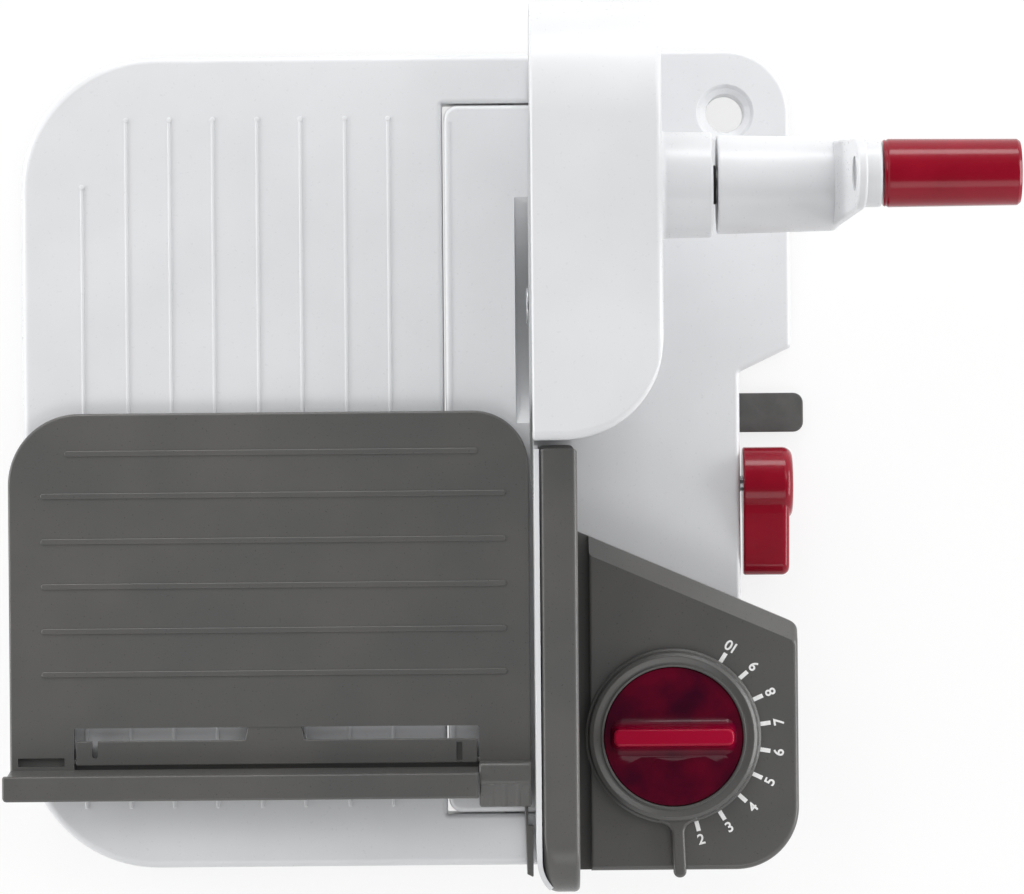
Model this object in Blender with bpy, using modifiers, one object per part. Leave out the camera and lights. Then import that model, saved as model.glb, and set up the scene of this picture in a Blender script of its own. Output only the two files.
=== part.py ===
"""Hand-cranked food slicer with a blade tower, a thickness stop, a food carriage and a suction foot.

Lengths are in metres. +X points right, towards the crank grip, +Y to the rear and +Z up. The modelling
zero is on the blade's axis in Y and on the table in Z. One empty carries every object, so that the whole
object stands over the world's zero.
"""

from math import acos, atan2, ceil, cos, degrees, pi, radians, sin, sqrt, tan

import bmesh
import bpy
from mathutils import Matrix, Vector

mm = 0.001

# Clearances shared by the whole object
seat_gap = 0.3 * mm
running_gap = 0.5 * mm
overrun = 2 * mm
sink = 0.5 * mm
merge_distance = 0.01 * mm

# Levels above the table
foot_height = 3.7 * mm
deck_height = 26 * mm
deck_thickness = 3 * mm
wall = 3 * mm
shell_bottom = foot_height + seat_gap
deck_inner = deck_height - deck_thickness

# Blade and its axis
blade_radius = 85 * mm
blade_thickness = 1.2 * mm
blade_plane = -2.6 * mm
blade_sink = 12.6 * mm
grind_width = 7 * mm
edge_thickness = 0.3 * mm
blade_hole_radius = 6 * mm
blade_clearance = 2.5 * mm
blade_back = blade_plane + blade_thickness
blade_axis_height = deck_height + blade_radius - blade_sink
blade_axis = (0, blade_axis_height)

# Folding board that the food carriage runs on
board_left = -230.7 * mm
board_front = -249.7 * mm
board_rear = 115.3 * mm
board_front_radius = 48 * mm
board_rear_radius = 50 * mm
ear_right = 0.5 * mm
front_ear_depth = 24 * mm
rear_ear_depth = 23 * mm
fold_gap = 0.8 * mm
small_corner = 2 * mm
fold_inset = 12.5 * mm
fold_drop = 12.5 * mm
fold_pin_radius = 3.5 * mm
fold_pin_inner_length = 6 * mm
board_foot_inset = 25.7 * mm
board_foot_front_setback = 49.7 * mm
board_foot_rear_setback = 45.3 * mm
fold_axis_x = ear_right - fold_inset
fold_axis_height = deck_height - fold_drop
board_foot_x = board_left + board_foot_inset
board_foot_places = [
    (board_foot_x, board_front + board_foot_front_setback),
    (board_foot_x, board_rear - board_foot_rear_setback),
]

# Base, with the barrel part that lies in the board's notch
barrel_reach = 28.1 * mm
barrel_corner = 3 * mm
base_front_step = 4.7 * mm
base_rear_step = 0.9 * mm
base_right = 115.3 * mm
base_rear_radius = 23 * mm
lever_bay_depth = 23.3 * mm
lever_bay_length = 50.2 * mm
lever_bay_slope = 11.1 * mm
barrel_left = fold_axis_x - barrel_reach
barrel_front = board_front + front_ear_depth
barrel_rear = board_rear - rear_ear_depth
base_front = board_front + base_front_step
base_rear = board_rear + base_rear_step
lever_bay_x = base_right - lever_bay_depth
step_x = ear_right + fold_gap

# Rubber feet
foot_radius = 8 * mm
foot_boss_radius = 7 * mm
foot_stem_radius = 3 * mm
foot_stem_length = 6 * mm
foot_edge_share = 0.25
foot_sole_share = 0.9
front_foot_inset = 16 * mm
front_foot_setback = 15 * mm
barrel_foot_inset = 12.1 * mm
barrel_foot_setback = 17 * mm
rear_foot_inset = 15.3 * mm
rear_foot_setback = 54.2 * mm
base_foot_places = [
    (lever_bay_x - front_foot_inset, base_front + front_foot_setback),
    (barrel_left + barrel_foot_inset, barrel_front + barrel_foot_setback),
    (barrel_left + barrel_foot_inset, barrel_rear - barrel_foot_setback),
    (base_right - rear_foot_inset, base_rear - rear_foot_setback),
]

# Recess in the base under the blade
recess_left_gap = 6 * mm
recess_right_gap = 3.4 * mm
recess_clearance = 3.5 * mm
recess_wall = 3 * mm
recess_floor = 3.9 * mm
recess_left = blade_plane - recess_left_gap
recess_right = blade_plane + recess_right_gap
recess_radius = blade_radius + recess_clearance
recess_block_bottom = blade_axis_height - recess_radius - recess_floor

# Hole that the slicer hangs by
hang_hole_inset = 28.7 * mm
hang_hole_setback = 28.4 * mm
hang_hole_radius = 8.5 * mm
hang_rim_radius = 12 * mm
hang_rim_depth = 3 * mm
hang_tube_radius = 14.5 * mm
hang_place = (base_right - hang_hole_inset, base_rear - hang_hole_setback)

# Gear drive, from the crank shaft to the blade
gear_module = 1.6 * mm
drive_teeth = 54
pinion_teeth = 18
pressure_angle = 20
flank_steps = 2
gear_root_share = 1.25
backlash = 0.3 * mm
crank_lean = 61.88
gear_inset = 10.8 * mm
gear_width = 10 * mm
shaft_radius = 7 * mm
shaft_inset = 6.3 * mm
shaft_in_hub = 18.7 * mm
gear_hub_radius = 13 * mm
gear_hub_length = 9 * mm
left_boss_radius = 12 * mm
left_boss_length = 5 * mm
boss_radius = 23 * mm
boss_length = 23.1 * mm
bush_wall = 5.4 * mm
bush_end_gap = 0.4 * mm
washer_radius = 8.4 * mm
clip_radius = 10 * mm
clip_width = 1.2 * mm
gear_distance = gear_module * (drive_teeth + pinion_teeth) / 2
crank_axis_y = gear_distance * sin(radians(crank_lean))
crank_axis_height = blade_axis_height + gear_distance * cos(radians(crank_lean))
crank_axis = (crank_axis_y, crank_axis_height)

# Tower that holds the blade and the gears
tower_gap = 0.8 * mm
tower_width = 55.4 * mm
tower_setback = 26.2 * mm
tower_rear_reach = 79.9 * mm
tower_rise = 96.6 * mm
tower_rear_radius = 53 * mm
tower_foot_step = 17.7 * mm
tower_waist_rise = 34 * mm
tower_waist_radius = 25 * mm
tower_front_top_radius = 4 * mm
tower_plan_radius = 42 * mm
tower_left_wall = 4.6 * mm
tower_seam_depth = 25.8 * mm
blade_pocket_depth = 1.4 * mm
tower_bottom = deck_height + seat_gap
tower_top = blade_axis_height + tower_rise
tower_left = blade_plane + tower_gap
tower_right = tower_left + tower_width
tower_front = tower_setback - blade_radius
tower_rear = crank_axis_y + tower_rear_reach
tower_foot_rear = tower_rear - tower_foot_step
tower_seam = tower_left + tower_seam_depth

# Where the drive's pieces lie along the tower
gear_left = tower_left + gear_inset
gear_right = gear_left + gear_width
shaft_left = tower_left + shaft_inset
boss_right = tower_right + boss_length

# Blade carrier with its pinion
neck_radius = 10 * mm
neck_gap = 1 * mm
pinion_overlap = 1.4 * mm
pinion_hub_length = 3.3 * mm
blade_bush_wall = 2.7 * mm
blade_bush_gap = 0.6 * mm
blade_boss_radius = 17 * mm
axle_radius = 4 * mm
axle_reach = 2.5 * mm
axle_boss_radius = 7.5 * mm
axle_blind = 2.5 * mm
blade_screw_head_radius = 8 * mm
blade_screw_head_height = 0.9 * mm
blade_screw_radius = 2 * mm
blade_screw_length = 5 * mm
neck_right = gear_left - neck_gap
pinion_right = gear_right + pinion_overlap
pinion_hub_right = pinion_right + pinion_hub_length
blade_bush_right = neck_right - blade_bush_gap
axle_left = neck_right - axle_reach
axle_right = tower_right - wall - axle_blind

# Crank with its grip
hub_gap = 2 * mm
hub_radius = 21.5 * mm
hub_end_radius = 20.2 * mm
hub_rounding = 4 * mm
hub_length = 53.2 * mm
arm_thickness = 4.2 * mm
arm_lean = 5 * mm
arm_foot_radius = 18.5 * mm
arm_tip_radius = 15 * mm
tip_boss_radius = 14.1 * mm
tip_boss_length = 6.9 * mm
crank_radius = 90 * mm
crank_screw_head_radius = 5 * mm
crank_screw_head_height = 4 * mm
crank_screw_radius = 2 * mm
crank_screw_length = 16 * mm
hub_web = 4.3 * mm
grip_gap = 0.6 * mm
grip_length = 57.9 * mm
grip_radius = 14.2 * mm
grip_end_radius = 13.7 * mm
grip_rounding = 2.5 * mm
spindle_radius = 4 * mm
spindle_inset = 8.3 * mm
spindle_head_radius = 7 * mm
spindle_head_height = 3.2 * mm
snap_ring_height = 1.1 * mm
snap_ring_width = 3 * mm
snap_ring_inset = 6 * mm
hub_left = boss_right + hub_gap
shaft_right = hub_left + shaft_in_hub
hub_right = hub_left + hub_length
arm_right = hub_right + arm_lean
arm_left = arm_right - arm_thickness
tip_right = arm_right + tip_boss_length
grip_left = tip_right + grip_gap
grip_right = grip_left + grip_length
spindle_right = grip_right - spindle_inset
grip_height = crank_axis_height + crank_radius

# Thickness stop: face sheet and its carrier
stop_setting = 1.34 * mm
face_thickness = 2.16 * mm
face_bend_radius = 11 * mm
face_bend_degrees = 49.5
face_bend_setback = 5.2 * mm
slice_gap = 2.1 * mm
stop_overhang = 3 * mm
stop_lift = 1 * mm
stop_rise = 61.6 * mm
stop_width = 18.36 * mm
stop_corner_share = 0.32
stop_front_top_radius = 22 * mm
stop_wall = 2.5 * mm
stop_cavity_rear_wall = 3 * mm
stop_face = blade_plane + stop_setting
stop_right = stop_face + stop_width
stop_rear = tower_front - slice_gap
stop_front = board_front - stop_overhang
stop_bottom = deck_height + stop_lift
stop_top = blade_axis_height + stop_rise
carrier_left = stop_face + face_thickness + seat_gap
stop_plan_radius = (stop_right - carrier_left) * stop_corner_share
face_bend_front = stop_front + face_bend_setback
face_front = face_bend_front - face_bend_radius * sin(radians(face_bend_degrees))

# Dial housing
housing_overhang = 0.4 * mm
dial_inset = 42.6 * mm
dial_setback = 59.5 * mm
housing_reach = 55.7 * mm
housing_slant_left_reach = 91.5 * mm
housing_slant_right_reach = 49.3 * mm
housing_right_radius = 30 * mm
housing_slant_corner = 6 * mm
housing_room = 16 * mm
housing_wall = 2.5 * mm
groove_width = 5.8 * mm
groove_depth = 8 * mm
housing_slot_margin = 3 * mm
housing_boss_radius = 4 * mm
housing_left = stop_right + seat_gap
housing_front = board_front - housing_overhang
dial_x = housing_left + dial_inset
dial_y = housing_front + dial_setback
housing_right = dial_x + housing_reach
housing_slant_left = dial_y + housing_slant_left_reach
housing_slant_right = dial_y + housing_slant_right_reach
groove_right = housing_left + groove_width

# Scroll cam under the dial, with the fixed pin that runs in its groove
scroll_degrees = 145
scroll_travel = 8.66 * mm
scroll_start_radius = 12 * mm
scroll_radius = 27 * mm
scroll_lift = 5.5 * mm
scroll_thickness = 6 * mm
scroll_groove_depth = 4 * mm
scroll_groove_gap = 0.42 * mm
scroll_hub_radius = 8 * mm
scroll_pin_radius = 2 * mm
scroll_pin_sink = 7.7 * mm
scroll_pin_boss_radius = 5 * mm
dial_screw_head_radius = 4 * mm
dial_screw_head_height = 2.2 * mm
dial_screw_radius = 1.6 * mm
scroll_bottom = deck_height + scroll_lift
scroll_top = scroll_bottom + scroll_thickness
scroll_pin_bottom = deck_height - scroll_pin_sink
scroll_pin_place = (dial_x - scroll_start_radius, dial_y)

# Slide that carries the stop on two rods
slide_gap = 1 * mm
slide_plate_thickness = 3.5 * mm
slide_plate_reach = 40 * mm
slide_plate_front_reach = 48.5 * mm
slide_plate_rear_reach = 43.5 * mm
guide_rod_radius = 3 * mm
guide_rod_lift = 7 * mm
guide_rod_front_reach = 42.5 * mm
guide_rod_rear_reach = 39.5 * mm
guide_block_half_depth = 5 * mm
guide_block_length = 7 * mm
guide_left_reach = 29 * mm
guide_right_reach = 22 * mm
lug_reach = 8 * mm
lug_length = 12 * mm
lug_lift = 2 * mm
slide_plate_bottom = scroll_top + slide_gap
slide_plate_top = slide_plate_bottom + slide_plate_thickness
slide_plate_right = dial_x + slide_plate_reach
slide_plate_front = dial_y - slide_plate_front_reach
slide_plate_rear = dial_y + slide_plate_rear_reach
guide_rod_height = deck_height + guide_rod_lift
guide_rod_lines = [dial_y - guide_rod_front_reach, dial_y + guide_rod_rear_reach]
guide_block_top = slide_plate_bottom - slide_gap
guide_left_block_x = dial_x - guide_left_reach
guide_right_block_x = dial_x + guide_right_reach
lug_left = dial_x - lug_reach
lug_bottom = deck_height + lug_lift
housing_top = slide_plate_top + housing_room
groove_floor = housing_top - groove_depth

# Dial that sets the thickness
dial_ring_radius = 39 * mm
dial_ring_top_radius = 35.5 * mm
dial_ring_inner_radius = 31 * mm
dial_ring_height = 6 * mm
dial_floor_thickness = 2.2 * mm
dial_neck_radius = 11.5 * mm
dial_neck_length = 12 * mm
dial_pointer_degrees = 2.3
pointer_tip_degrees = 60
dial_pointer_reach = 62.7 * mm
dial_pointer_width = 5.8 * mm
dial_pointer_height = 3.4 * mm
knob_radius = 30.4 * mm
knob_disc_thickness = 2 * mm
knob_bar_length = 57 * mm
knob_bar_width = 8 * mm
knob_bar_height = 9 * mm
knob_boss_length = 3.4 * mm
knob_hole_depth = 10 * mm
dial_bottom = housing_top + seat_gap
dial_floor_top = dial_bottom + dial_floor_thickness
knob_bottom = dial_floor_top + seat_gap

# Food carriage
carriage_overhang = 6.1 * mm
carriage_setback = 42.4 * mm
carriage_length = 162.2 * mm
carriage_left_radius = 32 * mm
carriage_right_radius = 25 * mm
carriage_lift = 4.5 * mm
carriage_thickness = 3.5 * mm
fence_thickness = 2.4 * mm
fence_height = 17 * mm
ledge_overhang = 2.2 * mm
ledge_reach = 10.7 * mm
ledge_thickness = 3 * mm
guard_width = 19.9 * mm
guard_overlap = 5.1 * mm
guard_depth = 20.5 * mm
guard_height = 16 * mm
flap_bay_left_inset = 28.8 * mm
flap_bay_right_inset = 3.4 * mm
flap_bay_depth = 19.9 * mm
flap_depth = 11 * mm
flap_front_gap = 1.9 * mm
flap_lift = 0.1 * mm
flap_thickness = 3.2 * mm
flap_axis_inset = 1.5 * mm
flap_axis_lift = 1 * mm
flap_pin_radius = 1.4 * mm
flap_pin_length = 3.4 * mm
flap_end_gap = 0.8 * mm
flap_slit_inset = 7.2 * mm
flap_slit_width = 2.6 * mm
flap_slit_length = 7.6 * mm
catch_inset = 78 * mm
catch_width = 24 * mm
catch_gap = 0.6 * mm
hinge_boss_drop = 2.5 * mm
hinge_boss_width = 7 * mm
runner_inset = 2.7 * mm
runner_width = 6 * mm
runner_front_inset = 7.3 * mm
runner_rear_inset = 34.9 * mm
runner_lip_width = 1.2 * mm
runner_wall_width = 3.6 * mm
runner_lift = 0.6 * mm
carriage_left = board_left - carriage_overhang
carriage_right = blade_plane - running_gap
carriage_front = board_front + carriage_setback
carriage_rear = carriage_front + carriage_length
carriage_bottom = deck_height + carriage_lift
carriage_top = carriage_bottom + carriage_thickness
fence_top = carriage_top + fence_height
ledge_left = carriage_left - ledge_overhang
ledge_front = carriage_front - ledge_reach
guard_left = carriage_right - guard_width
guard_rear = carriage_front + guard_overlap
guard_front = guard_rear - guard_depth
guard_top = carriage_top + guard_height
flap_bay_left = carriage_left + flap_bay_left_inset
flap_bay_right = guard_left - flap_bay_right_inset
flap_bay_front = carriage_front + fence_thickness
flap_bay_rear = flap_bay_front + flap_bay_depth
flap_front = flap_bay_front + flap_front_gap
flap_rear = flap_front + flap_depth
flap_bottom = carriage_bottom + flap_lift
flap_top = flap_bottom + flap_thickness
flap_axis = (flap_front + flap_axis_inset, flap_bottom + flap_axis_lift)
catch_left = flap_bay_left + catch_inset
catch_right = catch_left + catch_width
catch_rear = flap_bay_rear - catch_gap
hinge_boss_bottom = carriage_bottom - hinge_boss_drop
runner_left = board_left + runner_inset
runner_front = carriage_front + runner_front_inset
runner_rear = carriage_rear - runner_rear_inset

# Rail that guides the carriage beside the blade
rail_width = 3 * mm
rail_overhang = 5.3 * mm
rail_length = 193 * mm
rail_peg_radius = 1.1 * mm
rail_peg_length = 4 * mm
rail_peg_front_inset = 55 * mm
rail_peg_rear_inset = 38 * mm
rail_right = carriage_right - runner_lip_width - seat_gap
rail_left = rail_right - rail_width
rail_middle = (rail_left + rail_right) / 2
rail_top = carriage_bottom - seat_gap
rail_front = board_front - rail_overhang
rail_rear = rail_front + rail_length
rail_peg_lines = [rail_front + rail_peg_front_inset, rail_rear - rail_peg_rear_inset]

# Suction foot with its lever
cup_x = 44 * mm
cup_setback = 20.2 * mm
cup_radius = 42 * mm
cup_boss_radius = 9 * mm
cup_ring_gap = 1.5 * mm
cup_ring_wall = 2.5 * mm
cup_ring_lift = 2.5 * mm
tongue_overhang = 5.8 * mm
tongue_front_reach = 23.2 * mm
tongue_width = 17.7 * mm
tongue_bottom = 3 * mm
tongue_top = 6 * mm
tongue_corner = 5 * mm
lever_gap = 1.3 * mm
lever_width = 22.5 * mm
lever_floor_gap = 0.6 * mm
paddle_reach = 41.2 * mm
paddle_drop = 5 * mm
paddle_rise = 8.5 * mm
paddle_tip_radius = 5 * mm
lever_shaft_radius = 3.5 * mm
lever_shaft_inset = 5 * mm
crank_pin_radius = 1.3 * mm
crank_pin_offset = 1.6 * mm
crank_pin_length = 8 * mm
lever_socket_depth = 12 * mm
yoke_play = 0.7 * mm
yoke_bar = 1.8 * mm
yoke_half_width = 6.5 * mm
yoke_length = 7 * mm
stem_radius = 2 * mm
lever_axis_share = 17 / 26
cup_top_share = 0.56
cup_crown_share = 0.84
cup_shoulder_share = 0.63
cup_brim_share = 0.26
cup_hollow_share = 0.37
cup_socket_share = 0.47
cup_crown_radius_share = 0.5
cup_shoulder_radius_share = 0.85
cup_lip_radius_share = 0.95
cup_hollow_radius_share = 0.7
cup_y = tower_front - cup_setback
lever_axis_height = deck_height * lever_axis_share
cup_top = lever_axis_height * cup_top_share
cup_ring_bottom = shell_bottom + cup_ring_lift
lever_left = lever_bay_x + lever_gap
lever_right = lever_left + lever_width
lever_hub_radius = lever_axis_height - lever_floor_gap
lever_bay_rear = cup_y + lever_bay_length
lever_bay_shoulder = lever_bay_rear + lever_bay_slope
lever_shaft_left = cup_x + lever_shaft_inset
tongue_front = cup_y + tongue_front_reach
tongue_rear = tongue_front + tongue_width
tongue_right = lever_right + tongue_overhang

# Screws
screw_radius = 1.5 * mm
screw_hole_radius = 1.9 * mm
screw_head_radius = 4 * mm
screw_head_height = 2.3 * mm
screw_boss_radius = 4.5 * mm
screw_boss_length = 10 * mm
head_edge_share = 0.3
head_crown_share = 0.8
tower_screw_inset = 10.8 * mm
tower_screw_right_inset = 9.6 * mm
tower_screw_middle_inset = 15.6 * mm
tower_screw_setback = 43 * mm
tower_screw_front_setback = 18.8 * mm
tower_screw_rear_setback = 15 * mm
shell_screw_rear_setback = 22.7 * mm
shell_screw_front_setback = 38.8 * mm
shell_screw_low_setback = 30.7 * mm
shell_screw_rear_drop = 37 * mm
shell_screw_front_drop = 17 * mm
shell_screw_rise = 22 * mm
housing_screw_left_reach = 32 * mm
housing_screw_right_reach = 36 * mm
housing_screw_spread = 21 * mm
tower_screw_places = [
    (tower_left + tower_screw_inset, tower_foot_rear - tower_screw_setback),
    (tower_left + tower_screw_inset, tower_front + tower_screw_front_setback),
    (tower_right - tower_screw_right_inset, tower_foot_rear - tower_screw_rear_setback),
    (tower_right - tower_screw_middle_inset, 0),
]
shell_screw_places = [
    (tower_rear - shell_screw_rear_setback, tower_top - shell_screw_rear_drop),
    (tower_front + shell_screw_front_setback, tower_top - shell_screw_front_drop),
    (tower_rear - shell_screw_low_setback, deck_height + shell_screw_rise),
    (tower_front + shell_screw_front_setback, deck_height + shell_screw_rise),
]
housing_screw_places = [
    (dial_x - housing_screw_left_reach, dial_y),
    (dial_x + housing_screw_right_reach, dial_y + housing_screw_spread),
    (dial_x + housing_screw_right_reach, dial_y - housing_screw_spread),
]

# How finely round shapes are faceted
round_sides = 32
fine_sides = 72
small_sides = 12
slim_sides = 8
degrees_per_facet = 15

# Middle of the whole object, which stands over the world's zero
middle_x = (ledge_left + grip_right) / 2
middle_y = (min(face_front, rail_front) + tower_rear) / 2

parts = {}


# Scene and collections
def clear_scene():
    for thing in list(bpy.data.objects):
        bpy.data.objects.remove(thing, do_unlink=True)


def make_collection(name):
    collection = bpy.data.collections.new(name)
    bpy.context.scene.collection.children.link(collection)
    return collection


clear_scene()
slicer = make_collection("food_slicer")
cutters = make_collection("cutters")
frame = bpy.data.objects.new("slicer_frame", None)
slicer.objects.link(frame)
frame.location = (-middle_x, -middle_y, 0)


# Materials
def make_material(name, colour, roughness, metallic=0.0):
    material = bpy.data.materials.new(name)
    material.use_nodes = True
    shader = material.node_tree.nodes["Principled BSDF"]
    shader.inputs["Base Color"].default_value = (*colour, 1)
    shader.inputs["Roughness"].default_value = roughness
    shader.inputs["Metallic"].default_value = metallic
    return material


white_plastic = make_material("white_plastic", (0.72, 0.72, 0.73), 0.35)
grey_plastic = make_material("grey_plastic", (0.09, 0.09, 0.09), 0.45)
red_plastic = make_material("red_plastic", (0.33, 0.005, 0.025), 0.2)
black_rubber = make_material("black_rubber", (0.05, 0.05, 0.05), 0.7)
steel = make_material("steel", (0.62, 0.62, 0.63), 0.25, 1.0)
gear_plastic = make_material("gear_plastic", (0.75, 0.72, 0.62), 0.4)
bronze = make_material("bronze", (0.45, 0.3, 0.15), 0.35, 1.0)


# Outlines in a plane
def arc(centre, radius, start, end):
    steps = max(2, ceil(abs(end - start) / degrees_per_facet))
    angles = [radians(start + (end - start) * i / steps) for i in range(steps + 1)]
    return [(centre[0] + radius * cos(a), centre[1] + radius * sin(a)) for a in angles]


def rounded(corners):
    """Points round a polygon whose corners are (x, y, radius), counter-clockwise."""
    points = []
    for i, (x, y, radius) in enumerate(corners):
        before = corners[i - 1]
        after = corners[(i + 1) % len(corners)]
        here = Vector((x, y))
        inward = (Vector(before[:2]) - here).normalized()
        outward = (Vector(after[:2]) - here).normalized()
        if radius <= 0:
            points.append((x, y))
            continue
        half = inward.angle(outward) / 2
        reach = radius / tan(half)
        centre = here + (inward + outward).normalized() * radius / sin(half)
        first = here + inward * reach - centre
        last = here + outward * reach - centre
        start = degrees(atan2(first.y, first.x))
        sweep = degrees(atan2(last.y, last.x)) - start
        sweep = (sweep + 180) % 360 - 180
        points += arc(centre, radius, start, start + sweep)
    return points


def inset(corners, depth):
    """The same corners moved inward by depth, each with its radius kept concentric."""
    moved = []
    for i, (x, y, radius) in enumerate(corners):
        here = Vector((x, y))
        before = (here - Vector(corners[i - 1][:2])).normalized()
        after = (Vector(corners[(i + 1) % len(corners)][:2]) - here).normalized()
        side_before = Vector((-before.y, before.x))
        side_after = Vector((-after.y, after.x))
        turn = before.x * after.y - before.y * after.x
        shift = (side_before + side_after) * depth / (1 + side_before.dot(side_after))
        kept = max(radius - depth, 0) if turn > 0 else radius + depth
        moved.append((x + shift.x, y + shift.y, kept))
    return moved


# Solids
def link(thing, collection):
    collection.objects.link(thing)
    thing.parent = frame
    return thing


def finish(thing, name, material):
    thing.name = name
    thing.data.name = name
    thing.data.materials.clear()
    thing.data.materials.append(material)
    thing.data.shade_smooth()
    thing.data.set_sharp_from_angle(angle=radians(35))
    parts[name] = thing
    return thing


def as_cutter(thing):
    slicer.objects.unlink(thing)
    cutters.objects.link(thing)
    thing.hide_render = True
    thing.display_type = "WIRE"
    return thing


facings = {
    "z": Matrix(((1, 0, 0), (0, 1, 0), (0, 0, 1))).to_4x4(),
    "x": Matrix(((0, 0, 1), (1, 0, 0), (0, 1, 0))).to_4x4(),
    "y": Matrix(((0, 1, 0), (0, 0, 1), (1, 0, 0))).to_4x4(),
}


def plate(outline, low, high, facing="z"):
    """A flat outline extruded along one axis: (x, y) along z, (y, z) along x, or (z, x) along y."""
    curve = bpy.data.curves.new("outline", "CURVE")
    curve.dimensions = "2D"
    curve.fill_mode = "BOTH"
    curve.extrude = (high - low) / 2
    spline = curve.splines.new("POLY")
    spline.points.add(len(outline) - 1)
    for point, (u, v) in zip(spline.points, outline):
        point.co = (u, v, 0, 1)
    spline.use_cyclic_u = True
    sketch = bpy.data.objects.new("outline", curve)
    slicer.objects.link(sketch)
    bpy.context.view_layer.update()
    graph = bpy.context.evaluated_depsgraph_get()
    mesh = bpy.data.meshes.new_from_object(sketch.evaluated_get(graph))
    bpy.data.objects.remove(sketch, do_unlink=True)
    shape = bmesh.new()
    shape.from_mesh(mesh)
    bmesh.ops.remove_doubles(shape, verts=shape.verts, dist=merge_distance)
    bmesh.ops.dissolve_limit(shape, angle_limit=radians(0.5), verts=shape.verts, edges=shape.edges)
    bmesh.ops.translate(shape, verts=shape.verts, vec=(0, 0, (low + high) / 2))
    bmesh.ops.transform(shape, matrix=facings[facing], verts=shape.verts)
    bmesh.ops.recalc_face_normals(shape, faces=shape.faces)
    shape.to_mesh(mesh)
    shape.free()
    return link(bpy.data.objects.new("plate", mesh), slicer)


def box(low, high):
    mesh = bpy.data.meshes.new("box")
    shape = bmesh.new()
    bmesh.ops.create_cube(shape, size=1)
    size = [b - a for a, b in zip(low, high)]
    middle = [(a + b) / 2 for a, b in zip(low, high)]
    bmesh.ops.scale(shape, vec=size, verts=shape.verts)
    bmesh.ops.translate(shape, vec=middle, verts=shape.verts)
    shape.to_mesh(mesh)
    shape.free()
    return link(bpy.data.objects.new("box", mesh), slicer)


def rod(low, high, radius, facing="z", sides=small_sides, end_radius=None):
    """A cylinder or cone from one point to another along one axis."""
    mesh = bpy.data.meshes.new("rod")
    shape = bmesh.new()
    axis = "xyz".index(facing)
    length = high[axis] - low[axis]
    bmesh.ops.create_cone(
        shape,
        cap_ends=True,
        segments=sides,
        radius1=radius,
        radius2=radius if end_radius is None else end_radius,
        depth=length,
    )
    bmesh.ops.transform(shape, matrix=facings[facing], verts=shape.verts)
    middle = [(a + b) / 2 for a, b in zip(low, high)]
    bmesh.ops.translate(shape, vec=middle, verts=shape.verts)
    shape.to_mesh(mesh)
    shape.free()
    return link(bpy.data.objects.new("rod", mesh), slicer)


def rod_x(left, right, place, radius, sides=small_sides, end_radius=None):
    return rod((left, *place), (right, *place), radius, "x", sides, end_radius)


def rod_y(front, rear, place, radius, sides=small_sides):
    return rod((place[0], front, place[1]), (place[0], rear, place[1]), radius, "y", sides)


def rod_z(bottom, top, place, radius, sides=small_sides, end_radius=None):
    return rod((*place, bottom), (*place, top), radius, "z", sides, end_radius)


def turned(profile, place, facing="z", sides=round_sides, closed=False):
    """A profile of (radius, distance along the axis), turned about the axis through place."""
    mesh = bpy.data.meshes.new("turned")
    vertices = [(radius, 0, along) for radius, along in profile]
    edges = [(i, i + 1) for i in range(len(vertices) - 1)]
    if closed:
        edges.append((len(vertices) - 1, 0))
    mesh.from_pydata(vertices, edges, [])
    thing = link(bpy.data.objects.new("turned", mesh), slicer)
    thing.matrix_local = Matrix.Translation(place) @ facings[facing]
    screw = thing.modifiers.new("turn", "SCREW")
    screw.axis = "Z"
    screw.steps = sides
    screw.render_steps = sides
    screw.use_merge_vertices = True
    screw.merge_threshold = merge_distance
    screw.use_smooth_shade = True
    return thing


def boolean(target, other, operation):
    step = target.modifiers.new(operation.lower(), "BOOLEAN")
    step.operation = operation
    step.solver = "EXACT"
    step.object = other
    if other.name in slicer.objects:
        as_cutter(other)


def cut(target, *others):
    for other in others:
        boolean(target, other, "DIFFERENCE")


def join(target, *others):
    for other in others:
        boolean(target, other, "UNION")


def keep_common(target, other):
    boolean(target, other, "INTERSECT")


def set_origin(thing, point):
    """Move the object's origin onto its joint's axis, leaving the shape where it is."""
    shift = Vector(point)
    turn = thing.matrix_local.to_3x3().inverted()
    thing.data.transform(Matrix.Translation(turn @ (thing.location - shift)))
    thing.location = shift


# Gear outline with involute flanks
def involute(angle):
    return tan(angle) - angle


def gear_outline(teeth, centre, first_tooth):
    pitch = gear_module * teeth / 2
    base = pitch * cos(radians(pressure_angle))
    root = pitch - gear_root_share * gear_module
    tip = pitch + gear_module
    pitch_half = pi / (2 * teeth) - backlash / (4 * pitch) + involute(radians(pressure_angle))
    start = max(base, root)
    flank = []
    for i in range(flank_steps + 1):
        radius = start + (tip - start) * i / flank_steps
        flank.append((radius, pitch_half - involute(acos(base / radius))))
    if root < base:
        flank.insert(0, (root, flank[0][1]))
    points = []
    for tooth in range(teeth):
        middle = first_tooth + 2 * pi * tooth / teeth
        polar = [(radius, middle - half) for radius, half in flank]
        polar += [(radius, middle + half) for radius, half in reversed(flank)]
        points += [(centre[0] + r * cos(a), centre[1] + r * sin(a)) for r, a in polar]
    return points


# Screws with a pan head, pointing along +Z or +X from their head
def screw(name, low, shank, head_radius, head_height, shank_radius, facing="z"):
    """The head starts at low and the shank runs on from it along the axis."""
    profile = [
        (0, head_height + shank),
        (shank_radius, head_height + shank),
        (shank_radius, head_height),
        (head_radius, head_height),
        (head_radius, head_height * head_edge_share),
        (head_radius * head_crown_share, 0),
        (0, 0),
    ]
    finish(turned(profile, low, facing, small_sides), name, steel)


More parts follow.
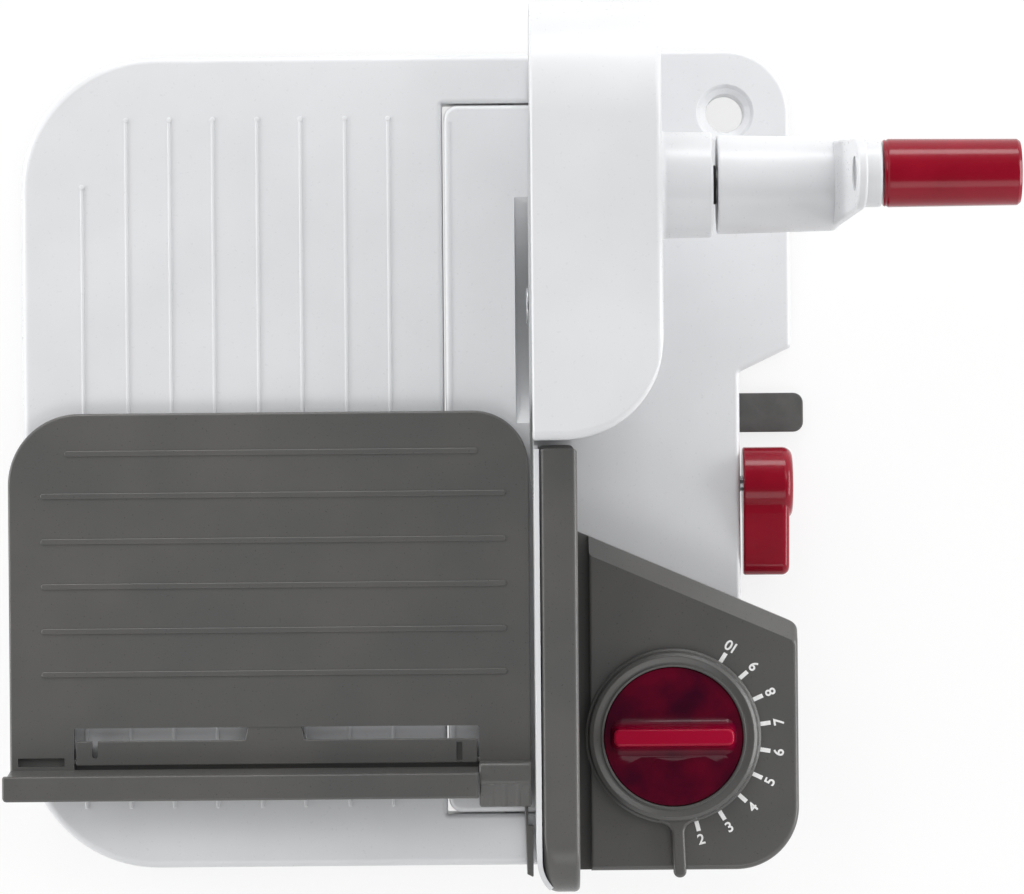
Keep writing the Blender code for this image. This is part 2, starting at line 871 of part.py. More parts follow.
def foot_boss(target, x, y):
    join(target, rod_z(shell_bottom, deck_inner + sink, (x, y), foot_boss_radius))
    hole = rod_z(
        shell_bottom - overrun,
        foot_height + foot_stem_length + seat_gap,
        (x, y),
        foot_stem_radius + seat_gap,
    )
    return hole


def foot(name, x, y):
    profile = [
        (0, foot_height + foot_stem_length),
        (foot_stem_radius, foot_height + foot_stem_length),
        (foot_stem_radius, foot_height),
        (foot_radius, foot_height),
        (foot_radius, foot_height * foot_edge_share),
        (foot_radius * foot_sole_share, 0),
        (0, 0),
    ]
    finish(turned(profile, (x, y, 0), sides=small_sides), name, black_rubber)


# Folding board
def make_board():
    notch_left = barrel_left - fold_gap
    notch_front = barrel_front - fold_gap
    notch_rear = barrel_rear + fold_gap
    corners = [
        (board_left, board_front, board_front_radius),
        (ear_right, board_front, small_corner),
        (ear_right, notch_front, 0),
        (notch_left, notch_front, small_corner),
        (notch_left, notch_rear, small_corner),
        (ear_right, notch_rear, 0),
        (ear_right, board_rear, small_corner),
        (board_left, board_rear, board_rear_radius),
    ]
    board = plate(rounded(corners), shell_bottom, deck_height)
    hollow = plate(rounded(inset(corners, wall)), shell_bottom - overrun, deck_inner)
    cut(board, hollow)
    holes = [foot_boss(board, x, y) for x, y in board_foot_places]
    cut(board, *holes)
    for low, high in (
        (board_front + wall, notch_front + overrun),
        (notch_rear - overrun, board_rear - wall),
    ):
        bore = rod_y(low, high, (fold_axis_x, fold_axis_height), fold_pin_radius + seat_gap)
        cut(board, bore)
    finish(board, "folding_board", white_plastic)
    for name, (x, y) in zip(("board_foot_front", "board_foot_rear"), board_foot_places):
        foot(name, x, y)


def make_fold_pins():
    place = (fold_axis_x, fold_axis_height)
    front = rod_y(
        board_front + wall + seat_gap, barrel_front + wall + fold_pin_inner_length, place, fold_pin_radius
    )
    rear = rod_y(
        barrel_rear - wall - fold_pin_inner_length, board_rear - wall - seat_gap, place, fold_pin_radius
    )
    finish(front, "fold_pin_front", steel)
    finish(rear, "fold_pin_rear", steel)


# Base
def make_base():
    corners = [
        (barrel_left, barrel_front, barrel_corner),
        (step_x, barrel_front, 0),
        (step_x, base_front, small_corner),
        (lever_bay_x, base_front, small_corner),
        (lever_bay_x, lever_bay_rear, small_corner),
        (base_right, lever_bay_shoulder, small_corner),
        (base_right, base_rear, base_rear_radius),
        (step_x, base_rear, small_corner),
        (step_x, barrel_rear, 0),
        (barrel_left, barrel_rear, barrel_corner),
    ]
    base = plate(rounded(corners), shell_bottom, deck_height)
    hollow = plate(rounded(inset(corners, wall)), shell_bottom - overrun, deck_inner)
    cut(base, hollow)

    reach = sqrt(recess_radius**2 - (blade_axis_height - deck_inner) ** 2) + 3 * recess_wall
    trough = box(
        (recess_left - recess_wall, -reach, recess_block_bottom),
        (recess_right + recess_wall, reach, deck_inner + sink),
    )
    join(base, trough)
    join(base, rod_z(shell_bottom, deck_inner + sink, hang_place, hang_tube_radius, round_sides))
    ring_outer = cup_radius + cup_ring_gap + cup_ring_wall
    ring = rod_z(cup_ring_bottom, deck_inner + sink, (cup_x, cup_y), ring_outer, round_sides)
    bore = rod_z(
        shell_bottom - overrun, deck_inner, (cup_x, cup_y), cup_radius + cup_ring_gap, round_sides
    )
    cut(ring, bore)
    join(base, ring)
    boss_bottom = scroll_pin_bottom - seat_gap - wall / 2
    join(base, rod_z(boss_bottom, deck_inner + sink, scroll_pin_place, scroll_pin_boss_radius))
    for y in guide_rod_lines:
        for x in (guide_left_block_x, guide_right_block_x):
            block = box(
                (x, y - guide_block_half_depth, deck_inner + sink),
                (x + guide_block_length, y + guide_block_half_depth, guide_block_top),
            )
            join(base, block)
    foot_holes = [foot_boss(base, x, y) for x, y in base_foot_places]

    recess = rod_x(recess_left, recess_right, blade_axis, recess_radius, fine_sides)
    cut(base, recess)
    cut(base, *foot_holes)
    below, above = shell_bottom - overrun, deck_height + overrun
    cut(base, rod_z(below, above, hang_place, hang_hole_radius, round_sides))
    rim = rod_z(
        deck_height - hang_rim_depth,
        deck_height,
        hang_place,
        hang_hole_radius,
        round_sides,
        hang_rim_radius,
    )
    cut(base, rim)
    for y in guide_rod_lines:
        bore = rod_x(
            guide_left_block_x - overrun,
            guide_right_block_x + guide_block_length + overrun,
            (y, guide_rod_height),
            guide_rod_radius + seat_gap,
        )
        cut(base, bore)
    pin_bottom = scroll_pin_bottom - seat_gap
    cut(base, rod_z(pin_bottom, deck_height + overrun, scroll_pin_place, scroll_pin_radius + seat_gap))
    below, above = deck_inner - overrun, deck_height + overrun
    for y in rail_peg_lines:
        cut(base, rod_z(below, above, (rail_middle, y), rail_peg_radius + seat_gap, slim_sides))
    for place in tower_screw_places:
        cut(base, rod_z(below, above, place, screw_hole_radius, slim_sides))
    lever_place = (cup_y, lever_axis_height)
    cut(
        base,
        rod_x(cup_x + overrun, lever_bay_x + overrun, lever_place, lever_shaft_radius + seat_gap),
    )
    tongue_slot = box(
        (cup_x + cup_radius / 2, tongue_front - fold_gap, shell_bottom - overrun),
        (lever_bay_x + overrun, tongue_rear + fold_gap, tongue_top + fold_gap),
    )
    cut(base, tongue_slot)
    pin_bore = fold_pin_radius + seat_gap
    for low, high in (
        (barrel_front - overrun, barrel_front + wall + overrun),
        (barrel_rear - wall - overrun, barrel_rear + overrun),
    ):
        cut(base, rod_y(low, high, (fold_axis_x, fold_axis_height), pin_bore))
    finish(base, "base_body", white_plastic)
    names = ["base_foot_front", "barrel_foot_front", "barrel_foot_rear", "base_foot_rear"]
    for name, (x, y) in zip(names, base_foot_places):
        foot(name, x, y)


# Tower shells
def tower_side():
    return [
        (tower_front, tower_bottom, 0),
        (tower_foot_rear, tower_bottom, 0),
        (tower_rear, deck_height + tower_waist_rise, tower_waist_radius),
        (tower_rear, tower_top, tower_rear_radius),
        (tower_front, tower_top, tower_front_top_radius),
    ]


def tower_plan():
    return [
        (tower_left, tower_front, small_corner),
        (tower_right, tower_front, tower_plan_radius),
        (tower_right, tower_rear, small_corner),
        (tower_left, tower_rear, small_corner),
    ]


def screw_posts(shell, places, left, right):
    for place in places:
        join(shell, rod_x(left, right, place, screw_boss_radius))


def make_cover():
    """The flat cover behind the blade, let into the tower's open left side."""
    inside = tower_left + tower_left_wall
    outline = inset(tower_side(), wall + seat_gap)
    cover = plate(rounded(outline), tower_left, inside, "x")
    join(cover, rod_x(inside - sink, inside + left_boss_length, crank_axis, left_boss_radius, round_sides))
    join(cover, rod_x(inside - sink, blade_bush_right, blade_axis, blade_boss_radius, round_sides))
    screw_posts(cover, shell_screw_places, inside - sink, tower_seam)
    cut(cover, blade_pocket())
    bush_bore = neck_radius + seat_gap + blade_bush_wall + seat_gap
    cut(cover, rod_x(blade_plane, blade_bush_right + overrun, blade_axis, bush_bore, round_sides))
    boss_end = inside + left_boss_length + overrun
    cut(cover, rod_x(shaft_left - seat_gap, boss_end, crank_axis, shaft_radius + seat_gap, round_sides))
    for place in shell_screw_places:
        cut(cover, rod_x(inside, tower_seam + overrun, place, screw_hole_radius, slim_sides))
    finish(cover, "blade_side_cover", white_plastic)


def blade_pocket():
    return rod_x(
        blade_plane - overrun,
        tower_left + blade_pocket_depth,
        blade_axis,
        blade_radius + blade_clearance,
        fine_sides,
    )


def make_tower():
    side = tower_side()
    plan = tower_plan()
    tower = plate(rounded(side), tower_left, tower_right, "x")
    keep_common(tower, plate(rounded(plan), tower_bottom - overrun, tower_top + overrun))
    inside = tower_right - wall
    inner_plan = [(x if x > tower_seam else tower_left - overrun, y, r) for x, y, r in inset(plan, wall)]
    inner = plate(rounded(inset(side, wall)), tower_left - overrun, inside, "x")
    keep_common(inner, plate(rounded(inner_plan), tower_bottom - overrun, tower_top + overrun))
    cut(tower, inner)
    seam = tower_seam + seat_gap
    join(tower, rod_x(inside, boss_right, crank_axis, boss_radius, round_sides))
    join(tower, rod_x(seam + wall, inside + sink, blade_axis, axle_boss_radius))
    screw_posts(tower, shell_screw_places, seam, inside + sink)
    for place in tower_screw_places:
        post_top = tower_bottom + wall + screw_boss_length
        join(tower, rod_z(tower_bottom + wall / 2, post_top, place, screw_boss_radius))
    cut(tower, blade_pocket())
    bush_bore = shaft_radius + seat_gap + bush_wall + seat_gap
    cut(tower, rod_x(inside - overrun, boss_right + overrun, crank_axis, bush_bore, round_sides))
    cut(tower, rod_x(seam, axle_right + seat_gap, blade_axis, axle_radius + seat_gap))
    for place in shell_screw_places:
        cut(tower, rod_x(seam - overrun, tower_right, place, screw_hole_radius, slim_sides))
        well_left = tower_right - screw_head_height - 2 * seat_gap
        cut(tower, rod_x(well_left, tower_right + overrun, place, screw_head_radius + seat_gap))
    for place in tower_screw_places:
        hole_top = tower_bottom + screw_boss_length
        cut(tower, rod_z(tower_bottom - overrun, hole_top, place, screw_hole_radius, slim_sides))
    finish(tower, "tower_housing", white_plastic)


def make_tower_screws():
    head_low = deck_inner - seat_gap - screw_head_height
    for i, (x, y) in enumerate(tower_screw_places):
        shank = tower_bottom + screw_boss_length - overrun - deck_inner
        screw(
            f"tower_screw_{i + 1}",
            (x, y, head_low),
            shank,
            screw_head_radius,
            screw_head_height,
            screw_radius,
        )
    for i, (y, z) in enumerate(shell_screw_places):
        shank_left = tower_left + tower_left_wall + overrun
        head_high = tower_right - seat_gap
        shank = head_high - screw_head_height - shank_left
        profile = [
            (0, head_high),
            (screw_head_radius * head_crown_share, head_high),
            (screw_head_radius, head_high - screw_head_height * (1 - head_edge_share)),
            (screw_head_radius, head_high - screw_head_height),
            (screw_radius, head_high - screw_head_height),
            (screw_radius, head_high - screw_head_height - shank),
            (0, head_high - screw_head_height - shank),
        ]
        thing = turned(profile, (0, y, z), "x", small_sides)
        finish(thing, f"shell_screw_{i + 1}", steel)


# Blade, its carrier and its bearings
def make_blade():
    y, z = blade_axis
    profile = [
        (blade_hole_radius, blade_back),
        (blade_radius - grind_width, blade_back),
        (blade_radius, blade_plane + edge_thickness),
        (blade_radius, blade_plane),
        (blade_hole_radius, blade_plane),
    ]
    blade = turned(profile, (0, y, z), "x", fine_sides, closed=True)
    finish(blade, "blade", steel)

    mesh_angle = atan2(blade_axis_height - crank_axis_height, -crank_axis_y)
    first_tooth = mesh_angle + pi + pi / pinion_teeth
    outline = gear_outline(pinion_teeth, blade_axis, first_tooth)
    pinion = plate(outline, neck_right, pinion_right, "x")
    flange = blade_back + seat_gap
    join(pinion, rod_x(flange, neck_right + overrun / 2, blade_axis, neck_radius, round_sides))
    join(pinion, rod_x(pinion_right - overrun / 2, pinion_hub_right, blade_axis, neck_radius, round_sides))
    spigot_radius = blade_hole_radius - seat_gap
    join(pinion, rod_x(blade_plane + seat_gap, flange + overrun / 2, blade_axis, spigot_radius))
    screw_end = blade_plane + blade_screw_length + seat_gap
    cut(pinion, rod_x(blade_plane - overrun, screw_end, blade_axis, blade_screw_radius + seat_gap))
    cut(pinion, rod_x(axle_left - seat_gap, pinion_hub_right + overrun, blade_axis, axle_radius + seat_gap))
    finish(pinion, "blade_pinion", gear_plastic)
    set_origin(pinion, (0, y, z))

    head_right = blade_plane - seat_gap
    head_left = head_right - blade_screw_head_height
    profile = [
        (0, blade_plane + blade_screw_length),
        (blade_screw_radius, blade_plane + blade_screw_length),
        (blade_screw_radius, head_right),
        (blade_screw_head_radius, head_right),
        (blade_screw_head_radius, head_right - blade_screw_head_height / 2),
        (blade_screw_head_radius - blade_screw_head_height / 2, head_left),
        (0, head_left),
    ]
    finish(turned(profile, (0, y, z), "x", round_sides), "blade_screw", steel)

    inner = neck_radius + seat_gap
    outer = inner + blade_bush_wall
    left = tower_left + blade_pocket_depth + seat_gap
    right = blade_bush_right
    profile = [(outer, right), (outer, left), (inner, left), (inner, right)]
    finish(turned(profile, (0, y, z), "x", closed=True), "blade_bush", bronze)
    finish(rod_x(axle_left, axle_right, blade_axis, axle_radius), "blade_axle", steel)


# Crank shaft with the drive gear
def make_drive():
    y, z = crank_axis
    bore = shaft_radius + seat_gap
    mesh_angle = atan2(blade_axis_height - crank_axis_height, -crank_axis_y)
    gear = plate(gear_outline(drive_teeth, crank_axis, mesh_angle), gear_left, gear_right, "x")
    hub_right = gear_right + gear_hub_length
    join(gear, rod_x(gear_right - overrun / 2, hub_right, crank_axis, gear_hub_radius, round_sides))
    cut(gear, rod_x(gear_left - overrun, hub_right + overrun, crank_axis, bore, round_sides))
    finish(gear, "drive_gear", gear_plastic)
    set_origin(gear, (0, y, z))

    shaft = rod_x(shaft_left, shaft_right, crank_axis, shaft_radius, round_sides)
    drill = rod_x(
        shaft_right - crank_screw_length,
        shaft_right + overrun,
        crank_axis,
        crank_screw_radius + seat_gap,
    )
    cut(shaft, drill)
    finish(shaft, "crank_shaft", steel)
    set_origin(shaft, (0, y, z))

    outer = bore + bush_wall
    left = tower_right - wall
    right = boss_right - bush_end_gap
    profile = [(outer, right), (outer, left), (bore, left), (bore, right)]
    finish(turned(profile, (0, y, z), "x", closed=True), "crank_bush", bronze)

    washer_left = boss_right + seat_gap
    washer_right = hub_left - seat_gap
    profile = [
        (washer_radius, washer_right),
        (washer_radius, washer_left),
        (bore, washer_left),
        (bore, washer_right),
    ]
    finish(turned(profile, (0, y, z), "x", closed=True), "crank_washer", black_rubber)

    clip_right = tower_right - wall - seat_gap
    clip_left = clip_right - clip_width
    profile = [
        (clip_radius, clip_right),
        (clip_radius, clip_left),
        (bore, clip_left),
        (bore, clip_right),
    ]
    finish(turned(profile, (0, y, z), "x", closed=True), "shaft_retaining_ring", steel)


# Crank arm, its screw, the grip and the grip's spindle
def arm_outline():
    """Two unlike circles, foot below and tip above, and the straight lines that touch both."""
    y, z = crank_axis
    taper = degrees(atan2(arm_foot_radius - arm_tip_radius, crank_radius))
    lower = arc((y, z), arm_foot_radius, 180 - taper, 360 + taper)
    upper = arc((y, grip_height), arm_tip_radius, taper, 180 - taper)
    return lower + upper


def make_crank():
    y, z = crank_axis
    tip = (y, grip_height)
    slope = arm_lean / crank_radius
    arm = plate(arm_outline(), arm_left, arm_right, "x")
    for vertex in arm.data.vertices:
        vertex.co.x += (vertex.co.z - grip_height) * slope
    join(arm, rod_x(arm_right - arm_thickness / 2, tip_right, tip, tip_boss_radius, round_sides))
    profile = [
        (0, hub_left, 0),
        (0, hub_right, 0),
        (hub_end_radius, hub_right, hub_rounding),
        (hub_radius, hub_left, 0),
    ]
    join(arm, turned(rounded(profile), (0, y, z), "x", closed=True))
    web_left = shaft_right + seat_gap
    web_right = web_left + hub_web
    cut(arm, rod_x(hub_left - overrun, web_left, crank_axis, shaft_radius + seat_gap, round_sides))
    cut(arm, rod_x(web_left - overrun, web_right + overrun, crank_axis, crank_screw_radius + seat_gap))
    cut(arm, rod_x(web_right, arm_right + overrun, crank_axis, crank_screw_head_radius + running_gap * 2))
    sunk_left = arm_left + slope * spindle_head_radius
    sunk_right = sunk_left + spindle_head_height
    well_left = arm_left - arm_lean
    cut(arm, rod_x(well_left, sunk_right + seat_gap, tip, spindle_head_radius + seat_gap, round_sides))
    cut(arm, rod_x(well_left, tip_right + overrun, tip, spindle_radius + seat_gap))
    finish(arm, "crank_arm", white_plastic)
    set_origin(arm, (0, y, z))

    head_right = web_right + seat_gap + crank_screw_head_height
    head_left = web_right + seat_gap
    tail = shaft_right - crank_screw_length + overrun
    profile = [
        (0, head_right),
        (crank_screw_head_radius * head_crown_share, head_right),
        (crank_screw_head_radius, head_right - crank_screw_head_height / 2),
        (crank_screw_head_radius, head_left),
        (crank_screw_radius, head_left),
        (crank_screw_radius, tail),
        (0, tail),
    ]
    finish(turned(profile, (0, y, z), "x", small_sides), "crank_screw", steel)

    ring_right = spindle_right - snap_ring_inset
    ring_left = ring_right - snap_ring_width
    ring_radius = spindle_radius + snap_ring_height
    profile = [
        (0, spindle_right),
        (spindle_radius, spindle_right),
        (spindle_radius, ring_right),
        (ring_radius, ring_right),
        (ring_radius, ring_left),
        (spindle_radius, ring_left),
        (spindle_radius, sunk_right),
        (spindle_head_radius, sunk_right),
        (spindle_head_radius, sunk_left),
        (0, sunk_left),
    ]
    finish(turned(profile, (0, y, grip_height), "x", small_sides), "grip_spindle", steel)

    bore = spindle_radius + running_gap
    groove = ring_radius + running_gap
    profile = [
        (0, grip_right),
        (grip_end_radius - grip_rounding, grip_right),
        (grip_end_radius, grip_right - grip_rounding),
        (grip_radius, grip_left + grip_rounding),
        (grip_radius - grip_rounding / 2, grip_left),
        (bore, grip_left),
        (bore, ring_left - running_gap),
        (groove, ring_left - running_gap),
        (groove, ring_right + running_gap),
        (bore, ring_right + running_gap),
        (bore, spindle_right + running_gap),
        (0, spindle_right + running_gap),
    ]
    finish(turned(profile, (0, y, grip_height), "x", round_sides), "crank_grip", red_plastic)


# Thickness stop
def face_outline():
    centre = (stop_face + face_bend_radius, face_bend_front)
    outer = arc(centre, face_bend_radius, 180, 180 + face_bend_degrees)
    inner = arc(centre, face_bend_radius - face_thickness, 180 + face_bend_degrees, 180)
    return [(stop_face, stop_rear), *outer, *inner, (stop_face + face_thickness, stop_rear)]


def blade_clearing(extra):
    """Cylinder round the blade that hollows the stop's rear edge."""
    radius = blade_radius + blade_clearance + extra
    return rod_x(stop_face - overrun, slide_plate_right, blade_axis, radius, fine_sides)


def make_stop():
    face = plate(face_outline(), stop_bottom, stop_top)
    cut(face, blade_clearing(0))
    finish(face, "stop_face_sheet", white_plastic)

    side = [
        (stop_front, stop_bottom, 0),
        (stop_rear, stop_bottom, 0),
        (stop_rear, stop_top, small_corner),
        (stop_front, stop_top, stop_front_top_radius),
    ]
    plan = [
        (carrier_left, stop_front, stop_plan_radius),
        (stop_right, stop_front, small_corner),
        (stop_right, stop_rear, 0),
        (carrier_left, stop_rear, 0),
    ]
    carrier = plate(rounded(side), carrier_left, stop_right, "x")
    keep_common(carrier, plate(rounded(plan), stop_bottom - overrun, stop_top + overrun))
    cut(carrier, blade_clearing(0))
    inner_side = inset(side, stop_wall)
    inner_side[0] = (inner_side[0][0], stop_bottom - overrun, 0)
    inner_side[1] = (inner_side[1][0], stop_bottom - overrun, 0)
    hollow = plate(rounded(inner_side), carrier_left + stop_wall, stop_right - stop_wall, "x")
    keep_common(hollow, plate(rounded(inset(plan, stop_wall)), stop_bottom - 2 * overrun, stop_top))
    cut(hollow, blade_clearing(stop_cavity_rear_wall))
    cut(carrier, hollow)
    slide_plate = box(
        (stop_right - stop_wall / 2, slide_plate_front, slide_plate_bottom),
        (slide_plate_right, slide_plate_rear, slide_plate_top),
    )
    join(carrier, slide_plate)
    for y in guide_rod_lines:
        lug = box(
            (lug_left, y - guide_block_half_depth, lug_bottom),
            (lug_left + lug_length, y + guide_block_half_depth, slide_plate_bottom + overrun / 2),
        )
        join(carrier, lug)
    for y in guide_rod_lines:
        bore = rod_x(
            lug_left - overrun,
            lug_left + lug_length + overrun,
            (y, guide_rod_height),
            guide_rod_radius + seat_gap,
        )
        cut(carrier, bore)
    hub_hole = rod_z(
        slide_plate_bottom - overrun,
        slide_plate_top + overrun,
        (dial_x, dial_y),
        scroll_hub_radius + seat_gap,
        round_sides,
    )
    cut(carrier, hub_hole)
    for place in housing_screw_places:
        hole = rod_z(
            slide_plate_bottom - overrun, slide_plate_top + overrun, place, screw_hole_radius, slim_sides
        )
        cut(carrier, hole)
    finish(carrier, "stop_carrier", grey_plastic)

    for name, y in zip(("guide_rod_front", "guide_rod_rear"), guide_rod_lines):
        guide = rod_x(
            guide_left_block_x,
            guide_right_block_x + guide_block_length,
            (y, guide_rod_height),
            guide_rod_radius,
        )
        finish(guide, name, steel)


def make_housing():
    corners = [
        (housing_left, housing_front, small_corner),
        (housing_right, housing_front, housing_right_radius),
        (housing_right, housing_slant_right, housing_slant_corner),
        (housing_left, housing_slant_left, 0),
    ]
    housing = plate(rounded(corners), stop_bottom, housing_top)
    hollow = plate(
        rounded(inset(corners, housing_wall)), stop_bottom - overrun, housing_top - housing_wall
    )
    cut(housing, hollow)
    groove_block = box(
        (housing_left, housing_front, groove_floor - housing_wall),
        (groove_right + housing_wall, housing_slant_left, housing_top - housing_wall / 2),
    )
    keep_common(groove_block, plate(rounded(corners), stop_bottom, housing_top))
    join(housing, groove_block)
    groove = box(
        (housing_left - overrun, housing_front - overrun, groove_floor),
        (groove_right, housing_slant_left + overrun, housing_top + overrun),
    )
    cut(housing, groove)
    slot = box(
        (
            housing_left - overrun,
            slide_plate_front - housing_slot_margin,
            stop_bottom - overrun,
        ),
        (
            housing_left + housing_wall + overrun,
            slide_plate_rear + housing_slot_margin,
            slide_plate_top + seat_gap,
        ),
    )
    cut(housing, slot)
    for place in housing_screw_places:
        boss_low = slide_plate_top + seat_gap
        join(housing, rod_z(boss_low, housing_top - housing_wall / 2, place, housing_boss_radius))
    neck_hole = rod_z(
        housing_top - housing_wall - overrun,
        housing_top + overrun,
        (dial_x, dial_y),
        dial_neck_radius + seat_gap,
        round_sides,
    )
    cut(housing, neck_hole)
    for place in housing_screw_places:
        hole_low, hole_high = slide_plate_top - overrun, housing_top - housing_wall
        cut(housing, rod_z(hole_low, hole_high, place, screw_hole_radius, slim_sides))
    finish(housing, "dial_housing", grey_plastic)

    head_low = slide_plate_bottom - seat_gap - screw_head_height
    shank = housing_top - housing_wall - overrun - head_low - screw_head_height
    for i, (x, y) in enumerate(housing_screw_places):
        name = f"housing_screw_{i + 1}"
        screw(name, (x, y, head_low), shank, screw_head_radius, screw_head_height, screw_radius)


# Dial, knob and scroll cam
def make_dial():
    centre = (dial_x, dial_y)
    ring_top = dial_bottom + dial_ring_height
    hub_bore = scroll_hub_radius + seat_gap
    profile = [
        (dial_ring_top_radius, ring_top),
        (dial_ring_radius, dial_bottom),
        (dial_neck_radius, dial_bottom),
        (dial_neck_radius, dial_bottom - dial_neck_length),
        (hub_bore, dial_bottom - dial_neck_length),
        (hub_bore, dial_floor_top),
        (dial_ring_inner_radius, dial_floor_top),
        (dial_ring_inner_radius, ring_top),
    ]
    ring = turned(profile, (*centre, 0), "z", round_sides, closed=True)
    half = dial_pointer_width / 2
    pointer = plate(
        [
            (dial_ring_inner_radius + seat_gap, -half),
            (dial_pointer_reach - half, -half),
            *arc((dial_pointer_reach - half, 0), half, -pointer_tip_degrees, pointer_tip_degrees),
            (dial_pointer_reach - half, half),
            (dial_ring_inner_radius + seat_gap, half),
        ],
        dial_bottom,
        dial_bottom + dial_pointer_height,
    )
    pointer.matrix_local = Matrix.Translation((*centre, 0)) @ Matrix.Rotation(
        radians(dial_pointer_degrees - 90), 4, "Z"
    )
    join(ring, pointer)
    finish(ring, "dial_ring", grey_plastic)

    bar_top = knob_bottom + knob_disc_thickness + knob_bar_height
    hub_end = knob_bottom - knob_boss_length
    profile = [
        (0, knob_bottom + knob_disc_thickness),
        (knob_radius, knob_bottom + knob_disc_thickness),
        (knob_radius, knob_bottom),
        (scroll_hub_radius, knob_bottom),
        (scroll_hub_radius, hub_end),
        (0, hub_end),
    ]
    knob = turned(profile, (*centre, 0), "z", round_sides)
    bar = box(
        (dial_x - knob_bar_length / 2, dial_y - knob_bar_width / 2, knob_bottom + knob_disc_thickness / 2),
        (dial_x + knob_bar_length / 2, dial_y + knob_bar_width / 2, bar_top),
    )
    join(knob, bar)
    cut(knob, rod_z(hub_end - overrun, hub_end + knob_hole_depth, centre, dial_screw_radius + seat_gap))
    finish(knob, "dial_knob", red_plastic)

    hub_top = hub_end - seat_gap
    cam = rod_z(scroll_bottom, scroll_top, centre, scroll_radius, round_sides)
    join(cam, rod_z(scroll_top - overrun / 2, hub_top, centre, scroll_hub_radius, round_sides))
    cut(cam, scroll_groove())
    head_well = dial_screw_head_height + seat_gap * 2
    well_radius = dial_screw_head_radius + seat_gap
    cut(cam, rod_z(scroll_bottom - overrun, scroll_bottom + head_well, centre, well_radius))
    cut(cam, rod_z(scroll_bottom, hub_top + overrun, centre, dial_screw_radius + seat_gap))
    finish(cam, "scroll_cam", gear_plastic)
    set_origin(cam, (*centre, 0))

    head_low = scroll_bottom + head_well - dial_screw_head_height - seat_gap
    shank = hub_end + knob_hole_depth - overrun - head_low - dial_screw_head_height
    screw(
        "dial_screw",
        (*centre, head_low),
        shank,
        dial_screw_head_radius,
        dial_screw_head_height,
        dial_screw_radius,
    )
    pin = rod_z(
        scroll_pin_bottom,
        scroll_bottom + scroll_groove_depth - seat_gap,
        scroll_pin_place,
        scroll_pin_radius,
    )
    finish(pin, "scroll_pin", steel)


def scroll_groove():
    """Spiral groove: its radius grows evenly as the dial turns, so the stop moves evenly too."""
    half = scroll_pin_radius + scroll_groove_gap
    lead_degrees = degrees(half / (scroll_start_radius - half))
    rise = scroll_travel / scroll_degrees
    middle_line = []
    for i in range(round_sides + 1):
        turn = -lead_degrees + (scroll_degrees + 2 * lead_degrees) * i / round_sides
        middle_line.append((scroll_start_radius + rise * turn, radians(180 - turn)))
    outer = [(radius + half, angle) for radius, angle in middle_line]
    inner = [(radius - half, angle) for radius, angle in reversed(middle_line)]
    outline = [(dial_x + r * cos(a), dial_y + r * sin(a)) for r, a in outer + inner]
    outline.reverse()
    return plate(outline, scroll_bottom - overrun, scroll_bottom + scroll_groove_depth)


